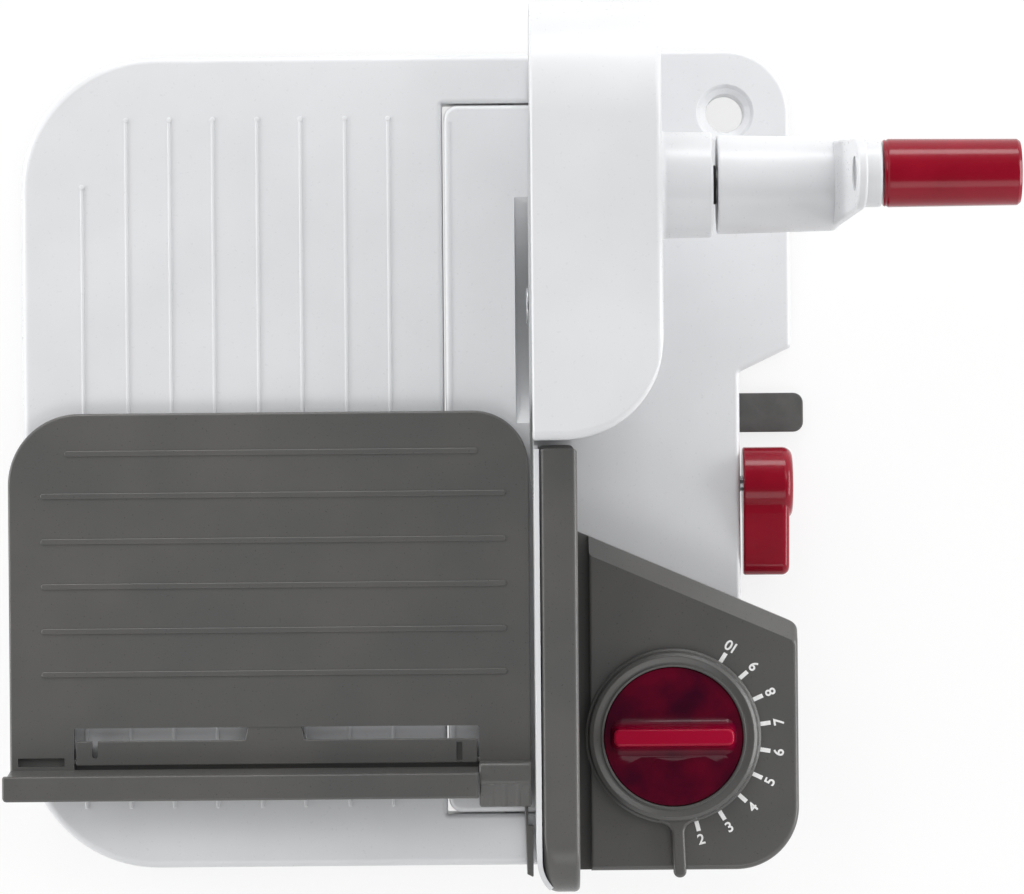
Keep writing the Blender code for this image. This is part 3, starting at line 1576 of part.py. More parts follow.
# Food carriage
def make_carriage():
    corners = [
        (carriage_left, carriage_front, small_corner),
        (carriage_right, carriage_front, small_corner),
        (carriage_right, carriage_rear, carriage_right_radius),
        (carriage_left, carriage_rear, carriage_left_radius),
    ]
    carriage = plate(rounded(corners), carriage_bottom, carriage_top)
    guard_wall_right = guard_left - seat_gap
    fence = box(
        (carriage_left, carriage_front, carriage_top - sink),
        (guard_wall_right, flap_bay_front, fence_top),
    )
    join(carriage, fence)
    ledge = box(
        (ledge_left, ledge_front, fence_top - ledge_thickness),
        (guard_wall_right, flap_bay_front, fence_top),
    )
    join(carriage, ledge)
    runner_bottom = deck_height + seat_gap
    runner_top = carriage_bottom + sink
    runner_right = runner_left + runner_width
    join(carriage, box((runner_left, runner_front, runner_bottom), (runner_right, runner_rear, runner_top)))
    channel_left = rail_left - seat_gap
    channel_right = rail_right + seat_gap
    for left, right in (
        (channel_left - runner_wall_width, channel_left),
        (channel_right, channel_right + runner_lip_width),
    ):
        lip = box(
            (left, runner_front, deck_height + runner_lift),
            (right, runner_rear, runner_top),
        )
        join(carriage, lip)
    for left in (flap_bay_left - hinge_boss_width, flap_bay_right):
        boss = box(
            (left, flap_bay_front - sink, hinge_boss_bottom),
            (left + hinge_boss_width, flap_bay_front + hinge_boss_width, runner_top),
        )
        join(carriage, boss)
    bay = box(
        (flap_bay_left, flap_bay_front, hinge_boss_bottom - overrun),
        (flap_bay_right, flap_bay_rear, carriage_top + overrun),
    )
    cut(carriage, bay)
    reach = flap_pin_length + seat_gap
    hole_radius = flap_pin_radius + seat_gap
    cut(carriage, rod_x(flap_bay_left - reach, flap_bay_left + overrun, flap_axis, hole_radius))
    cut(carriage, rod_x(flap_bay_right - overrun, flap_bay_right + reach, flap_axis, hole_radius))
    finish(carriage, "carriage_plate", grey_plastic)

    flap_left = flap_bay_left + flap_end_gap
    flap_right = flap_bay_right - flap_end_gap
    flap = box((flap_left, flap_front, flap_bottom), (flap_right, flap_rear, flap_top))
    join(flap, box((catch_left, flap_rear - overrun, flap_bottom), (catch_right, catch_rear, flap_top)))
    slit_left = flap_left + flap_slit_inset
    slit = box(
        (slit_left, flap_rear - flap_slit_length, flap_bottom - overrun),
        (slit_left + flap_slit_width, flap_rear + overrun, flap_top + overrun),
    )
    cut(flap, slit)
    pin_reach = flap_pin_length - flap_end_gap
    join(
        flap,
        rod_x(flap_bay_left - pin_reach, flap_left + overrun, flap_axis, flap_pin_radius),
        rod_x(flap_right - overrun, flap_bay_right + pin_reach, flap_axis, flap_pin_radius),
    )
    finish(flap, "carriage_flap", grey_plastic)
    set_origin(flap, (0, *flap_axis))

    guard = box(
        (guard_left, guard_front, carriage_top + seat_gap),
        (carriage_right, guard_rear, guard_top),
    )
    skirt = box(
        (guard_left, guard_front, carriage_bottom),
        (carriage_right, carriage_front - seat_gap, carriage_top + overrun),
    )
    join(guard, skirt)
    finish(guard, "thumb_guard", grey_plastic)


def make_rail():
    rail = box((rail_left, rail_front, deck_height + seat_gap), (rail_right, rail_rear, rail_top))
    for y in rail_peg_lines:
        top = deck_height + seat_gap + overrun / 2
        join(rail, rod_z(deck_height - rail_peg_length, top, (rail_middle, y), rail_peg_radius, slim_sides))
    finish(rail, "carriage_rail", grey_plastic)


# Suction foot
def make_suction():
    brim = cup_top * cup_brim_share
    profile = [
        (0, cup_top),
        (cup_boss_radius, cup_top),
        (cup_boss_radius, cup_top * cup_crown_share),
        (cup_radius * cup_crown_radius_share, cup_top * cup_crown_share),
        (cup_radius * cup_shoulder_radius_share, cup_top * cup_shoulder_share),
        (cup_radius, brim),
        (cup_radius, 0),
        (cup_radius * cup_lip_radius_share, 0),
        (cup_radius * cup_hollow_radius_share, brim),
        (0, cup_top * cup_hollow_share),
    ]
    cup = turned(profile, (cup_x, cup_y, 0), "z", round_sides)
    tongue_plan = [
        (cup_x + cup_radius / 2, tongue_front, 0),
        (tongue_right, tongue_front, tongue_corner),
        (tongue_right, tongue_rear, tongue_corner),
        (cup_x + cup_radius / 2, tongue_rear, 0),
    ]
    join(cup, plate(rounded(tongue_plan), tongue_bottom, tongue_top))
    socket_bottom = cup_top * (1 - cup_socket_share)
    cut(cup, rod_z(socket_bottom, cup_top + overrun, (cup_x, cup_y), stem_radius + seat_gap))
    finish(cup, "suction_cup", black_rubber)

    axis = (cup_y, lever_axis_height)
    pin_low = lever_axis_height - crank_pin_offset - crank_pin_radius
    pin_high = lever_axis_height - crank_pin_offset + crank_pin_radius
    pin_left = lever_shaft_left - crank_pin_length
    yoke_left = cup_x - yoke_length / 2
    yoke_bottom = pin_low - yoke_play - yoke_bar
    stem = box(
        (yoke_left, cup_y - yoke_half_width, yoke_bottom),
        (yoke_left + yoke_length, cup_y + yoke_half_width, pin_high + yoke_play + yoke_bar),
    )
    slot_half = crank_pin_offset + crank_pin_radius + yoke_play
    slot = box(
        (yoke_left - overrun, cup_y - slot_half, pin_low - yoke_play),
        (yoke_left + yoke_length + overrun, cup_y + slot_half, pin_high + yoke_play),
    )
    cut(stem, slot)
    stem_low = socket_bottom + seat_gap
    join(stem, rod_z(stem_low, yoke_bottom + yoke_bar / 2, (cup_x, cup_y), stem_radius))
    finish(stem, "suction_stem", steel)

    shaft_end = lever_left + lever_socket_depth
    shaft = rod_x(lever_shaft_left, shaft_end, axis, lever_shaft_radius)
    pin_place = (cup_y, lever_axis_height - crank_pin_offset)
    join(shaft, rod_x(pin_left, lever_shaft_left + overrun, pin_place, crank_pin_radius))
    finish(shaft, "lever_shaft", steel)
    set_origin(shaft, (0, *axis))

    hub = arc(axis, lever_hub_radius, 0, 360)[:-1]
    lever = plate(hub, lever_left, lever_right, "x")
    paddle_front = cup_y - paddle_reach
    paddle_low = lever_axis_height - paddle_drop
    paddle_high = lever_axis_height + paddle_rise
    paddle = [
        (paddle_front, paddle_low, paddle_tip_radius),
        (cup_y, paddle_low, 0),
        (cup_y, paddle_high, 0),
        (paddle_front, paddle_high, paddle_tip_radius),
    ]
    join(lever, plate(rounded(paddle), lever_left, lever_right, "x"))
    cut(lever, rod_x(lever_left - overrun, shaft_end + seat_gap, axis, lever_shaft_radius + seat_gap))
    finish(lever, "suction_lever", red_plastic)
    set_origin(lever, (0, *axis))


make_board()
make_fold_pins()
make_base()
make_cover()
make_tower()
make_tower_screws()
make_blade()
make_drive()
make_crank()
make_stop()
make_housing()
make_dial()
make_carriage()
make_rail()
make_suction()
bpy.context.view_layer.update()
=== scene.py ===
from math import asin, atan2, cos, pi, radians, sin, sqrt, tan

import bmesh
import bpy
from mathutils import Matrix, Vector


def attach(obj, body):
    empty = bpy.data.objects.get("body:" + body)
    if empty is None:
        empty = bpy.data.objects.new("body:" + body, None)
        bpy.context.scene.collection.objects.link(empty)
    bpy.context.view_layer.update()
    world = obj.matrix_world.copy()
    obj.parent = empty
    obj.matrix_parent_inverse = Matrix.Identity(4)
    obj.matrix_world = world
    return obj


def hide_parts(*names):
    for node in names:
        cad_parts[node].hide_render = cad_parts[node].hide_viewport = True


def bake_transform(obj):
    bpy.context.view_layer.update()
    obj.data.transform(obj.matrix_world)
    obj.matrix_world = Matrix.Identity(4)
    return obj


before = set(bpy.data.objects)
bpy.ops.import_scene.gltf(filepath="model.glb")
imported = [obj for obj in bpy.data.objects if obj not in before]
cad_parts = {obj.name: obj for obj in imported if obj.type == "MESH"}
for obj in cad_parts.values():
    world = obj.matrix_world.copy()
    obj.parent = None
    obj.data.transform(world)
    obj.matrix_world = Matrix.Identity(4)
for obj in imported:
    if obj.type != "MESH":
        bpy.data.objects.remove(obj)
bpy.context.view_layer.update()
print("frame loaded")

# All pieces are drawn in millimetres from the blade's axis: x to the crank, y to the rear, z up from the table
toFrame = Matrix.Translation((0.01835, 0.0625817, 0)) @ Matrix.Scale(0.001, 4)
facings = {
    "z": Matrix(((1, 0, 0), (0, 1, 0), (0, 0, 1))).to_4x4(),
    "x": Matrix(((0, 0, 1), (1, 0, 0), (0, 1, 0))).to_4x4(),
}
shared = {
    "deck": 26,
    "shellBottom": 4,
    "wall": 3,
    "web": 1.8,  # ribs under the board and the base
    "sunk": 0.4,  # how deep a moulded rib is set into what it stands on
    "bladeAxis": (0, 98.4),
    "crankAxis": (50.8, 125.55),
    "gripHeight": 215.55,
    "clearing": 87.5,
}


# Shapes
def cornerArc(back, here, on, radius, steps):
    towardBack = (Vector(back) - Vector(here)).normalized()
    towardOn = (Vector(on) - Vector(here)).normalized()
    half = towardBack.angle(towardOn) / 2
    middle = Vector(here) + (towardBack + towardOn).normalized() * radius / sin(half)
    first = Vector(here) + towardBack * radius / tan(half) - middle
    last = Vector(here) + towardOn * radius / tan(half) - middle
    start = atan2(first.y, first.x)
    sweep = (atan2(last.y, last.x) - start + pi) % (2 * pi) - pi
    angles = [start + sweep * k / steps for k in range(steps + 1)]
    return [(middle.x + radius * cos(a), middle.y + radius * sin(a)) for a in angles]


def cornerSteps(radius):
    return 2 if radius < 0.5 else 6 if radius < 6 else 12 if radius < 20 else 24


def roundCorners(corners, steps):
    points = []
    for i, (u, v, radius) in enumerate(corners):
        back, on = corners[i - 1][:2], corners[(i + 1) % len(corners)][:2]
        points += cornerArc(back, (u, v), on, radius, steps[i])
    return points


def moveSides(corners, depths):
    # each side goes inward by its own depth; side i runs from corner i to the next
    if not isinstance(depths, (list, tuple)):
        depths = [depths] * len(corners)
    moved = []
    for i, (u, v, radius) in enumerate(corners):
        back = (Vector((u, v)) - Vector(corners[i - 1][:2])).normalized()
        on = (Vector(corners[(i + 1) % len(corners)][:2]) - Vector((u, v))).normalized()
        turn = back.x * on.y - back.y * on.x
        first, last = depths[i - 1], depths[i]
        shiftU = (first * on.x - last * back.x) / turn
        shiftV = (first * on.y - last * back.y) / turn
        keptRadius = max(radius - min(first, last), 0) if turn > 0 else radius + max(first, last)
        moved.append((u + shiftU, v + shiftV, keptRadius))
    return moved


def addObject(name, data):
    thing = bpy.data.objects.new(name, data)
    bpy.context.scene.collection.objects.link(thing)
    return thing


def makeSolid(shape, facing="z", place=(0, 0, 0)):
    bmesh.ops.remove_doubles(shape, verts=shape.verts, dist=0.002)
    bmesh.ops.transform(shape, matrix=Matrix.Translation(place) @ facings[facing], verts=shape.verts)
    bmesh.ops.recalc_face_normals(shape, faces=shape.faces)
    mesh = bpy.data.meshes.new("shape")
    shape.to_mesh(mesh)
    shape.free()
    return addObject("shape", mesh)


def loft(rings, facing="z"):
    shape = bmesh.new()
    loops = [[shape.verts.new((u, v, along)) for u, v in points] for points, along in rings]
    for low, high in zip(loops, loops[1:]):
        for i in range(len(low)):
            j = (i + 1) % len(low)
            shape.faces.new((low[i], low[j], high[j], high[i]))
    shape.faces.new(loops[0][::-1])
    shape.faces.new(loops[-1])
    return makeSolid(shape, facing)


def edgeCurve(radius, end, inward):
    # depth and place of each ring of a rounded rim, from the end of the shape inward
    if not radius:
        return [(0, end)]
    angles = [pi / 12 * k for k in range(7)]
    return [(radius * (1 - sin(a)), end + inward * radius * (1 - cos(a))) for a in angles]


def slab(corners, low, high, facing="z", top=0, bottom=0):
    steps = [cornerSteps(corner[2]) for corner in corners]
    levels = edgeCurve(bottom, low, 1) + edgeCurve(top, high, -1)[::-1]
    rings = [(roundCorners(moveSides(corners, depth), steps), along) for depth, along in levels]
    return loft(rings, facing)


def oblong(left, front, right, rear, radius=0):
    return [(left, front, radius), (right, front, radius), (right, rear, radius), (left, rear, radius)]


def block(low, high, edge=0, facing="z"):
    # a box with rounded edges; low and high are (u, v, along)
    return slab(oblong(*low[:2], *high[:2], edge), low[2], high[2], facing, edge, edge)


def lathe(profile, place=(0, 0, 0), facing="z", sides=72, closed=False):
    # profile is (radius, along, rounding) from one end of the axis to the other
    path = []
    for i, point in enumerate(profile):
        radius = point[2] if len(point) > 2 else 0
        if radius:
            back, on = profile[i - 1][:2], profile[(i + 1) % len(profile)][:2]
            path += cornerArc(back, point[:2], on, radius, 6)
        else:
            path.append(point[:2])
    shape = bmesh.new()
    turns = [2 * pi * k / sides for k in range(sides)]
    loops = []
    for radius, along in path:
        ring = turns if radius > 0.001 else turns[:1]
        loops.append([shape.verts.new((radius * cos(a), radius * sin(a), along)) for a in ring])
    pairs = list(zip(loops, loops[1:])) + ([(loops[-1], loops[0])] if closed else [])
    for low, high in pairs:
        for k in range(sides):
            j = (k + 1) % sides
            ring = [low[k % len(low)], low[j % len(low)], high[j % len(high)], high[k % len(high)]]
            ring = list(dict.fromkeys(ring))
            if len(ring) > 2:
                shape.faces.new(ring)
    return makeSolid(shape, facing, place)


def rod(start, end, radius, sides=32):
    along = Vector(end) - Vector(start)
    shape = bmesh.new()
    bmesh.ops.create_cone(
        shape, cap_ends=True, segments=sides, radius1=radius, radius2=radius, depth=along.length
    )
    turn = along.to_track_quat("Z", "Y").to_matrix().to_4x4()
    middle = (Vector(start) + Vector(end)) / 2
    bmesh.ops.transform(shape, matrix=Matrix.Translation(middle) @ turn, verts=shape.verts)
    return makeSolid(shape)


def upright(centre, low, high, radius, sides=32):
    return rod((*centre, low), (*centre, high), radius, sides)


def barAlongX(low, high, centre, radius, sides=32):
    return rod((low, *centre), (high, *centre), radius, sides)


def turnedAlongX(profile, centre, sides=72, closed=False):
    return lathe(profile, (0, *centre), "x", sides, closed)


def settle(thing):
    graph = bpy.context.evaluated_depsgraph_get()
    mesh = bpy.data.meshes.new_from_object(thing.evaluated_get(graph))
    thing.modifiers.clear()
    thing.data = mesh
    return thing


def combine(thing, operation, *others):
    for other in others:
        step = thing.modifiers.new(operation, "BOOLEAN")
        step.operation = operation
        step.solver = "EXACT"
        step.object = other
    bpy.context.view_layer.update()
    settle(thing)
    for other in others:
        bpy.data.objects.remove(other, do_unlink=True)
    return thing


def turnAbout(thing, place, angle):
    thing.data.transform(Matrix.Translation(place) @ Matrix.Rotation(angle, 4, "Z"))
    return thing


def finishPiece(thing, name, body, slotName, *nodes, material=None):
    thing.data.transform(toFrame)
    thing.name = thing.data.name = name
    thing.data.materials.clear()
    thing.data.materials.append(material or finishes[slotName])
    thing.data.shade_smooth()
    thing.data.set_sharp_from_angle(angle=radians(34))
    weights = thing.modifiers.new("weights", "WEIGHTED_NORMAL")
    weights.keep_sharp = True
    bpy.context.view_layer.update()
    settle(thing)
    if body:
        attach(thing, body)
    if nodes:
        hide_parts(*nodes)
    return thing


# Materials
def toLinear(text):
    values = [int(text[i : i + 2], 16) / 255 for i in (1, 3, 5)]
    return [v / 12.92 if v <= 0.04045 else ((v + 0.055) / 1.055) ** 2.4 for v in values] + [1]


def addNode(tree, kind, settings=None, links=None):
    node = tree.nodes.new(kind)
    for name, value in (settings or {}).items():
        if hasattr(node, name):
            setattr(node, name, value)
        else:
            node.inputs[name].default_value = value
    for name, source in (links or {}).items():
        tree.links.new(source, node.inputs[name])
    return node


def ringsAboutAxis(tree, place, axis, size):
    # fine rings round an axis along x, as a lathe or a grinding wheel leaves them
    shift = addNode(tree, "ShaderNodeVectorMath", {"operation": "SUBTRACT"}, {0: place})
    shift.inputs[1].default_value = axis
    flat = addNode(tree, "ShaderNodeVectorMath", {"operation": "MULTIPLY"}, {0: shift.outputs["Vector"]})
    flat.inputs[1].default_value = (0, 1, 1)
    reach = addNode(tree, "ShaderNodeVectorMath", {"operation": "LENGTH"}, {0: flat.outputs["Vector"]})
    settings = {"noise_dimensions": "1D", "Scale": 1000 / size, "Detail": 2.0}
    return addNode(tree, "ShaderNodeTexNoise", settings, {"W": reach.outputs["Value"]}).outputs["Fac"]


def surface(name, colours, cloudSize, roughness, grain, rise=None, ringAxis=None, metallic=0.0, specular=0.5):
    # grain is its size and depth in real millimetres, as cloudSize is, and the strength of its bump
    material = bpy.data.materials.new(name)
    material.use_nodes = True
    tree = material.node_tree
    shader = tree.nodes["Principled BSDF"]
    shader.inputs["Metallic"].default_value = metallic
    shader.inputs["Specular IOR Level"].default_value = specular
    place = addNode(tree, "ShaderNodeTexCoord").outputs["Object"]
    settings = {"Scale": 1000 / cloudSize, "Detail": 3.0, "Roughness": 0.55}
    cloud = addNode(tree, "ShaderNodeTexNoise", settings, {"Vector": place})
    tint = addNode(tree, "ShaderNodeValToRGB", links={"Fac": cloud.outputs["Fac"]})
    for stop, at, text in zip(tint.color_ramp.elements, (0.35, 0.65), colours):
        stop.position = at
        stop.color = toLinear(text)
    colour = tint.outputs["Color"]
    # rise paints light by height: the colour blends into the given one from low to high, a painted highlight on the
    # upper faces
    if rise:
        low, high, text = rise
        height = addNode(tree, "ShaderNodeSeparateXYZ", links={"Vector": place}).outputs["Z"]
        span = {"From Min": low / 1000, "From Max": high / 1000}
        share = addNode(tree, "ShaderNodeMapRange", span, {"Value": height}).outputs["Result"]
        links = {"Fac": share, "Color1": colour}
        colour = addNode(tree, "ShaderNodeMixRGB", {"Color2": toLinear(text)}, links).outputs["Color"]
    tree.links.new(colour, shader.inputs["Base Color"])
    grainSize, grainDepth, bumpStrength = grain
    if ringAxis:
        height = ringsAboutAxis(tree, place, ringAxis, grainSize)
    else:
        settings = {"Scale": 1000 / grainSize, "Detail": 2.0, "Roughness": 0.6}
        height = addNode(tree, "ShaderNodeTexNoise", settings, {"Vector": place}).outputs["Fac"]
    span = {"From Min": 0.3, "From Max": 0.7, "To Min": roughness[0], "To Max": roughness[1]}
    dull = addNode(tree, "ShaderNodeMapRange", span, {"Value": height})
    tree.links.new(dull.outputs["Result"], shader.inputs["Roughness"])
    settings = {"Strength": bumpStrength, "Distance": grainDepth / 1000}
    bump = addNode(tree, "ShaderNodeBump", settings, {"Height": height})
    tree.links.new(bump.outputs["Normal"], shader.inputs["Normal"])
    return material


# Moulded ABS in white: even and satin, with a faint orange peel that softens the highlights.
# The peel of a polished mould is about 1.6 mm from crest to crest
whiteAbs = surface(
    "mouldedWhiteAbs",
    colours=("#D8D9DB", "#DDDEE0"),
    cloudSize=60,
    roughness=(0.27, 0.34),
    grain=(1.6, 0.02, 0.35),
)
# ABS moulded against a spark-eroded tool: a fine dry grain, drawn at 0.9 mm where the real one is 0.1 mm
greyAbs = surface(
    "mouldedGreyAbs",
    colours=("#555554", "#5B5A58"),
    cloudSize=45,
    roughness=(0.27, 0.38),
    grain=(0.9, 0.05, 0.5),
)
# Polished ABS in dark red: deep colour under a hard gloss
redAbs = surface(
    "polishedRedAbs",
    colours=("#84041D", "#8F0722"),
    cloudSize=30,
    roughness=(0.14, 0.2),
    grain=(2.2, 0.02, 0.3),
    specular=0.32,
)
# Polished red ABS of the knob with painted light: its colours are darker than the grip's as painted shade in the
# recessed disc, and the colour turns a lighter red towards the bar's top as a painted highlight on its lit top
knobAbsPaintedLight = surface(
    "polishedRedAbsWithPaintedLight",
    colours=("#3A031D", "#640322"),
    cloudSize=24,
    roughness=(0.12, 0.18),
    grain=(2.2, 0.02, 0.3),
    # painted highlight: lighter red from 62.8 mm up to 70 mm, for the bar's lit top
    rise=(62.8, 70, "#A30A30"),
    specular=0.2,
)
# Nitrile rubber from a blasted mould: dark grey, dry, slightly mottled
blackRubber = surface(
    "mouldedNitrileRubber",
    colours=("#565655", "#5E5E5D"),
    cloudSize=9,
    roughness=(0.55, 0.72),
    grain=(0.8, 0.08, 0.6),
    specular=0.2,
)
# Stainless blade steel, ground in rings about its axis: bright, with fine circles that spread the light.
# The grinding lines are drawn at 0.7 mm where the real ones are 0.1 mm
bladeSteel = surface(
    "groundStainlessSteel",
    colours=("#C6C8CA", "#D0D2D3"),
    cloudSize=30,
    roughness=(0.2, 0.34),
    grain=(0.7, 0.01, 0.4),
    ringAxis=toFrame @ Vector((0, *shared["bladeAxis"])),
    metallic=1.0,
)
# Zinc-plated turned steel: greyer than the blade, with a soft sparkle
platedSteel = surface(
    "zincPlatedSteel",
    colours=("#A9ACAF", "#BEC0C2"),
    cloudSize=3,
    roughness=(0.24, 0.36),
    grain=(0.6, 0.01, 0.4),
    metallic=1.0,
)
# Moulded acetal of the gears: off-white and waxy
gearAcetal = surface(
    "mouldedAcetal",
    colours=("#E3DCC9", "#EAE4D3"),
    cloudSize=20,
    roughness=(0.34, 0.42),
    grain=(1.2, 0.02, 0.3),
)
# Sintered bronze of the bushes: warm, porous, with dark pores
sinteredBronze = surface(
    "sinteredBronze",
    colours=("#7E5A34", "#A87C48"),
    cloudSize=1.5,
    roughness=(0.35, 0.55),
    grain=(0.5, 0.03, 0.6),
    metallic=1.0,
)
# Pad-printed ink of the scale: flat white with a slightly open edge
scaleInk = surface(
    "padPrintedWhiteInk",
    colours=("#EDEDEC", "#F6F6F5"),
    cloudSize=3,
    roughness=(0.45, 0.55),
    grain=(0.5, 0.01, 0.3),
)
finishes = {
    "steel": platedSteel,
    "blade_steel": bladeSteel,
    "gear_plastic": gearAcetal,
    "bronze": sinteredBronze,
    "black_rubber": blackRubber,
    "white_plastic": whiteAbs,
    "grey_plastic": greyAbs,
    "red_plastic": redAbs,
}
print("materials made")

# Folding board
board = {
    "outline": [(-230.7, -249.7, 60), (0.5, -249.7, 2), (0.5, 115.3, 2), (-230.7, 115.3, 60)],
    "edge": 3.5,
    "notch": [(-40.9, -226.5, 0.6), (20, -226.5, 0), (20, 93.1, 0), (-40.9, 93.1, 0.6)],
    "notchEdge": 2.4,
    "ribs": [(-203, 56), (-183, 86), (-163.5, 86), (-144, 86), (-124, 86), (-104.5, 86), (-84.5, 86), (-65, 86)],
    "ribFront": -222,
    "ribWidth": 1.7,
    "ribHeight": 0.6,
    "dotRadius": 1.25,
    "dotHeight": 0.75,
    "cell": 44,
}


def flaredCutter(corners, low, surfaceLevel, flare):
    # a cutter that also rounds the rim where it comes out at the surface
    steps = [cornerSteps(max(corner[2], 1)) for corner in corners]
    levels = [(0, low)]
    levels += [(-flare * (1 - cos(a)), surfaceLevel - flare * (1 - sin(a))) for a in [pi / 12 * k for k in range(7)]]
    levels.append((-flare, surfaceLevel + 3))
    return loft([(roundCorners(moveSides(corners, d), steps), z) for d, z in levels])


def hollowCells(outline, cell):
    # the underside's pockets: what is left between them is a grid of stiffening ribs
    web, high = shared["web"], shared["deck"] - shared["wall"]
    inside = slab(moveSides(outline, shared["wall"]), 0, high)
    us, vs = [[corner[k] for corner in outline] for k in (0, 1)]
    countU, countV = [round((max(values) - min(values)) / cell) for values in (us, vs)]
    stepU, stepV = (max(us) - min(us)) / countU, (max(vs) - min(vs)) / countV
    size = (stepU - web, stepV - web, high + 4)
    grid = bmesh.new()
    for i in range(countU):
        for j in range(countV):
            middle = (min(us) + stepU * (i + 0.5), min(vs) + stepV * (j + 0.5), high / 2)
            bmesh.ops.create_cube(grid, size=1, matrix=Matrix.Translation(middle) @ Matrix.Diagonal((*size, 1)))
    return combine(inside, "INTERSECT", makeSolid(grid))


def ridge(start, end, width, height, level):
    # a low rib with round ends on a flat surface
    half = width / 2
    corners = oblong(start[0] - half, start[1] - half, end[0] + half, end[1] + half, width * 0.49)
    return slab(corners, level - shared["sunk"], level + height, top=min(height, width * 0.45))


deck = shared["deck"]
boardShell = slab(board["outline"], shared["shellBottom"], deck, top=board["edge"], bottom=0.6)
pockets = hollowCells(board["outline"], board["cell"])
combine(pockets, "DIFFERENCE", slab(moveSides(board["notch"], -shared["wall"]), -2, 24))
combine(boardShell, "DIFFERENCE", pockets, flaredCutter(board["notch"], 0, deck, board["notchEdge"]))
boardRidges = []
dotRadius, dotLow, dotHigh = board["dotRadius"], deck - shared["sunk"], deck + board["dotHeight"]
for x, rear in board["ribs"]:
    boardRidges.append(ridge((x, board["ribFront"]), (x, rear), board["ribWidth"], board["ribHeight"], deck))
    dot = [(0, dotLow), (dotRadius, dotLow), (dotRadius, dotHigh, 0.5), (0, dotHigh)]
    boardRidges.append(lathe(dot, (x, rear + 0.6, 0), sides=24))
combine(boardShell, "UNION", *boardRidges)
finishPiece(boardShell, "boardShell", "base", "white_plastic", "folding_board")
print("board made")

# Base with its barrel, the recess for the blade and the hole that it hangs by
base = {
    "outline": [
        (-40.1, -225.7, 6),
        (1.3, -225.7, 0),
        (1.3, -245, 2),
        (92, -245, 2),
        (92, -28.8, 2),
        (115.3, -17.7, 2),
        (115.3, 116.2, 28.7),
        (1.3, 116.2, 2),
        (1.3, 92.3, 0),
        (-40.1, 92.3, 6),
    ],
    "edge": 2.2,
    "leftBead": (-38.1, 24.5, 2),
    "recess": (-8.6, 0.8, 88.5),
    "trough": 71,
    "hole": (86.6, 87.8, 8.5),
    "holeWall": 14.5,
    "rim": 12.4,
    "rimDepth": 2.6,
    "cup": (44, -79, 42),
    "guideLines": (-233.1, -151.1),
    "guideBlocks": (31, 82),
    "guideHeight": 33,
    "guideBore": 3.3,
    "leverBore": 3.8,
    "cell": 38,
}
feet = {
    "base_foot_front": (76, -230),
    "barrel_foot_front": (-28, -208),
    "barrel_foot_rear": (-28, 76),
    "base_foot_rear": (100, 62),
    "board_foot_front": (-205, -200),
    "board_foot_rear": (-205, 70),
}
baseShell = slab(base["outline"], shared["shellBottom"], deck, top=base["edge"], bottom=0.6)
pockets = hollowCells(base["outline"], base["cell"])
cupX, cupY, cupRadius = base["cup"]
holeX, holeY, holeRadius = base["hole"]
recessLeft, recessRight, recessRadius = base["recess"]
combine(
    pockets,
    "DIFFERENCE",
    block((recessLeft - 3, -base["trough"], -4), (recessRight + 3, base["trough"], 30)),
    upright((holeX, holeY), -4, 30, base["holeWall"], 64),
    upright((cupX, cupY), -4, 30, cupRadius + 4, 72),
)
cupRoom = upright((cupX, cupY), -4, 23, cupRadius + 1.5, 72)
combine(baseShell, "DIFFERENCE", pockets, cupRoom)
rim, rimLow = base["rim"], deck - base["rimDepth"]
hangCutter = lathe(
    [
        (0, -4),
        (holeRadius, -4),
        (holeRadius, rimLow - 1.2, 1.5),
        (rim - 1, rimLow + 0.4, 0.4),
        (rim, deck - 0.6, 0.4),
        (rim + 0.7, deck + 0.1),
        (rim + 0.7, deck + 3),
        (0, deck + 3),
    ],
    (holeX, holeY, 0),
)
blocks = [
    block((x, y - 5, deck - 0.5), (x + 7, y + 5, 37.5), 0.6) for x in base["guideBlocks"] for y in base["guideLines"]
]
beadX, beadZ, beadRadius = base["leftBead"]
leftBead = rod((beadX, -218, beadZ), (beadX, 85, beadZ), beadRadius)
combine(baseShell, "UNION", leftBead, *blocks)
recessProfile = [(0, recessLeft), (recessRadius, recessLeft, 0.6), (recessRadius, recessRight, 0.6), (0, recessRight)]
recessCutter = turnedAlongX(recessProfile, shared["bladeAxis"], 220)
tongueSlot = block((62, -56.6, 0), (100, -37.3, 6.8), 0.2)
guideBores = [barAlongX(24, 96, (y, base["guideHeight"]), base["guideBore"]) for y in base["guideLines"]]
leverBore = barAlongX(46, 100, (cupY, 17), base["leverBore"])
combine(baseShell, "DIFFERENCE", hangCutter, recessCutter, tongueSlot, leverBore, *guideBores)
finishPiece(baseShell, "baseShell", "base", "white_plastic", "base_body")
# A mushroom foot: a stem pressed into the shell, and a flat pad with a shallow dimple
footStem = [(0, 9.7), (3, 9.7, 0.4), (3, 3.7, 0.3)]
footProfile = footStem + [(8, 3.7, 0.5), (7.6, 0, 0.9), (5.2, 0, 0.3), (4.8, 0.7, 0.3), (0, 0.7)]
for node, (x, y) in feet.items():
    foot = lathe(footProfile, (x, y, 0), sides=48)
    footName = node.replace("_", " ").title().replace(" ", "") + "Rubber"
    finishPiece(foot, footName, "base", "black_rubber", node)
print("base made")

# Tower: a tall shell with a rounded front-right corner, its boss for the crank and the cover behind the blade
tower = {
    "left": -1.8,
    "right": 53.6,
    "front": -58.8,
    "rear": 130.7,
    "bottom": 26.3,
    "top": 195,
    "rearRadius": 53,
    "footRear": 113,
    "waist": (60, 25),
    "frontTop": 4,
    "planRadius": 42,
    "leftEdge": 1.4,
    "rightEdge": 3.2,
    "bossRadius": 23,
    "bossRight": 76.7,
    "bore": 13,
    "coverDepth": 4.6,
    "coverGap": 0.3,
    "pocket": -0.4,
    "bush": (13.3, 17),
}


